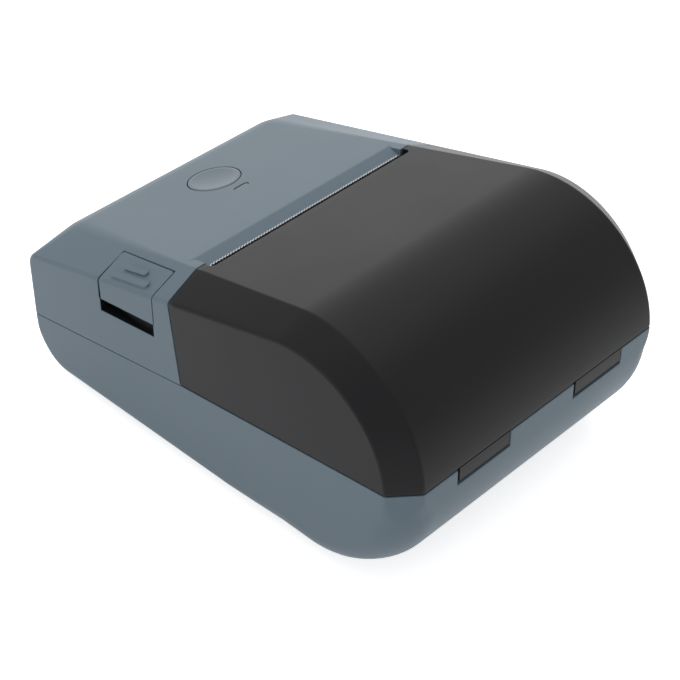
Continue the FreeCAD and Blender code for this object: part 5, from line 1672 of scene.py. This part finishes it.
@dataclass
class Studio:
    """Camera, lamps, pale floor and white surroundings."""

    camera_mm: Point = (227.016, 220.471, 272.506)
    forward: Point = (-0.55790, -0.54033, -0.62992)
    right: Point = (-0.69565, 0.71838, -0.0001)
    focal_mm: float = 97.0
    sky: float = 0.5
    floor_glow: float = 0.7
    lamps: tuple[tuple[str, float, float, Point], ...] = (
        ("overhead", 3.2, 1.1, (-0.1, -0.1, 0.8)), ("front", 0.64, 0.5, (-0.38, -0.44, 0.15)),
        ("side", 0.78, 0.5, (0.75, -0.2, 0.25)))

    def build(self) -> None:
        """Build the studio."""
        self._camera()
        self._world()
        self._lamps()
        self._floor()
        bpy.context.scene.view_settings.view_transform = "Standard"

    def _camera(self) -> None:
        """Place the camera at the photograph's angle."""
        data = bpy.data.cameras.new("camera")
        data.lens = self.focal_mm
        data.sensor_width = 36.0
        data.sensor_fit = "HORIZONTAL"
        data.clip_start = 0.01
        camera = bpy.data.objects.new("camera", data)
        bpy.context.scene.collection.objects.link(camera)
        back = -Vector(self.forward).normalized()
        right = Vector(self.right)
        right = (right - back * right.dot(back)).normalized()
        up = back.cross(right)
        turn = Matrix((right, up, back)).transposed().to_4x4()
        camera.matrix_world = Matrix.Translation(Vector(self.camera_mm) * MM) @ turn
        bpy.context.scene.camera = camera

    def _world(self) -> None:
        """White for the camera, softer light for the surfaces."""
        world = bpy.data.worlds.new("studio")
        bpy.context.scene.world = world
        world.use_nodes = True
        tree = world.node_tree
        tree.nodes.clear()
        shown = shown_rays(tree)
        light = tree.nodes.new("ShaderNodeBackground")
        light.inputs["Color"].default_value = (0.97, 0.985, 1.0, 1.0)
        light.inputs["Strength"].default_value = self.sky
        white = tree.nodes.new("ShaderNodeBackground")
        white.inputs["Color"].default_value = (1.0, 1.0, 1.0, 1.0)
        white.inputs["Strength"].default_value = 1.0
        mix = tree.nodes.new("ShaderNodeMixShader")
        tree.links.new(shown, mix.inputs[0])
        tree.links.new(light.outputs[0], mix.inputs[1])
        tree.links.new(white.outputs[0], mix.inputs[2])
        out = tree.nodes.new("ShaderNodeOutputWorld")
        tree.links.new(mix.outputs[0], out.inputs["Surface"])

    def _lamps(self) -> None:
        """Place the soft lamps."""
        for name, watts, size, place in self.lamps:
            data = bpy.data.lights.new(name, "AREA")
            data.energy = watts
            data.size = size
            lamp = bpy.data.objects.new(name, data)
            bpy.context.scene.collection.objects.link(lamp)
            lamp.location = place
            aim = Vector((0, 0, 0.02)) - Vector(place)
            lamp.rotation_euler = aim.to_track_quat("-Z", "Y").to_euler()

    def _floor(self) -> None:
        """Pale floor that keeps the shadow."""
        mesh = bpy.data.meshes.new("floor")
        reach = 3.0
        mesh.from_pydata([(-reach, -reach, 0), (reach, -reach, 0), (reach, reach, 0), (-reach, reach, 0)], [],
                         [(0, 1, 2, 3)])
        graph = Graph("floor_white")
        grain = graph.noise(3.0, 2.0)
        tone = graph.blend((0.93, 0.93, 0.935, 1.0), (0.95, 0.95, 0.955, 1.0), grain)
        paint = graph.node("ShaderNodeBsdfDiffuse", {}, {"Color": tone})
        glow = graph.node("ShaderNodeEmission", {}, {
            "Color": (1.0, 1.0, 1.0, 1.0), "Strength": Field(graph, shown_rays(graph.tree)) * self.floor_glow})
        both = graph.node("ShaderNodeAddShader", {}, {0: paint.outputs[0], 1: glow.outputs[0]})
        mesh.materials.append(graph.finish(both.outputs[0]))
        floor = bpy.data.objects.new("floor", mesh)
        bpy.context.scene.collection.objects.link(floor)


# ---------------------------------------------------------------------------
# Whole printer
# ---------------------------------------------------------------------------

def screw_sets(form: CasingForm) -> list[ScrewSet]:
    """Screws of the printer.

    Args:
        form: Casing form, for the heights of seams and top.

    Returns:
        One set for each kind.
    """
    flip = 180.0
    lid_places = []
    for x in (-16.0, 16.0):
        for y in (9.0, 19.0):
            seat = form.top_place(y, x) @ Vector((0, 0, -3.45))
            lid_places.append(tuple(seat))
    return [
        ScrewSet("casing_screws", "case_screws", tuple((x, y, 10.0) for x in (-35.8, 35.8) for y in (-49.0, -26.0)),
                 (2.0, 1.6), (1.0, 13.4), DARK_STEEL, "dark_steel", turn_x_deg=flip),
        ScrewSet("mechanism_screws", "frame_screws",
                 tuple((x, y, 17.3) for x in (-32.9, 32.9) for y in (-20.0, -6.0)),
                 (1.4, 0.9), (0.7, 5.5), PLATED_STEEL, "plated_steel"),
        ScrewSet("main_board_screws", "board_screws",
                 tuple((x, y, 20.1) for x in (-26.0, 26.0) for y in (-38.0, -30.0)),
                 (1.4, 0.9), (0.7, 3.6), PLATED_STEEL, "plated_steel"),
        ScrewSet("liner_screws", "lid_screws", tuple(lid_places), (1.4, 0.9), (0.7, 2.4), DARK_STEEL, "dark_steel",
                 Body.LID, turn_x_deg=flip + form.slope_deg),
    ]


def spring_sets(latch: SideLatch) -> list[Springs]:
    """Springs of the printer.

    Args:
        latch: Side latch, for its pin line.

    Returns:
        One set for each kind.
    """
    start, end = latch.axis()
    along = (end - start).normalized()
    turn = Vector((0, 0, 1)).rotation_difference(along).to_matrix().to_4x4()
    latch_place = Matrix.Translation(start + along * latch.gap) @ turn
    rearward = Matrix.Rotation(math.radians(-90), 4, "X")
    forward = Matrix.Rotation(math.radians(90), 4, "X")
    head = tuple(Matrix.Translation((x, -14.3, 39.6)) @ rearward for x in (-18.0, 18.0))
    return [
        Springs("head_coils", "head_springs", head, 1.8, 0.2, 4.7, 5.0, "head_pivot", -14.3),
        Springs("latch_coil", "latch_spring", (latch_place,), 0.76, 0.12, 2.6, 5.0),
        Springs("catch_coil", "catch_spring", (Matrix.Translation((0, -44.9, 4.7)) @ forward,), 0.9, 0.12, 3.0, 5.0,
                "catch_slide", -47.9, 0.45),
    ]


def main() -> None:
    """Build the whole printer, piece by piece."""
    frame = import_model()
    nodes = frame["nodes"]
    form = CasingForm()
    latch = SideLatch(form)
    dress_nodes(nodes)
    HingedLid(form, "roll_lid", "lid", LID_BLACK, Body.LID).build(nodes)
    # The box around the latch recess gets painted shade inside it.
    Casing(form, "upper_casing", "upper_case", CASE_GREY, Body.CASE,
           painted_recess_shade=((36.0, -32.0, 28.0), (41.5, -13.0, 36.5))).build(nodes)
    Casing(form, "lower_casing", "lower_case", CASE_GREY, Body.CASE).build(nodes)
    latch.build()
    PowerButton(form).build()
    ButtonPad(form).build()
    StatusLight(form).build()
    TearBar(form).build()
    Feet().build()
    for screws in screw_sets(form):
        screws.build()
    for springs in spring_sets(latch):
        springs.build()
    Studio().build()


if __name__ == "__main__":
    main()
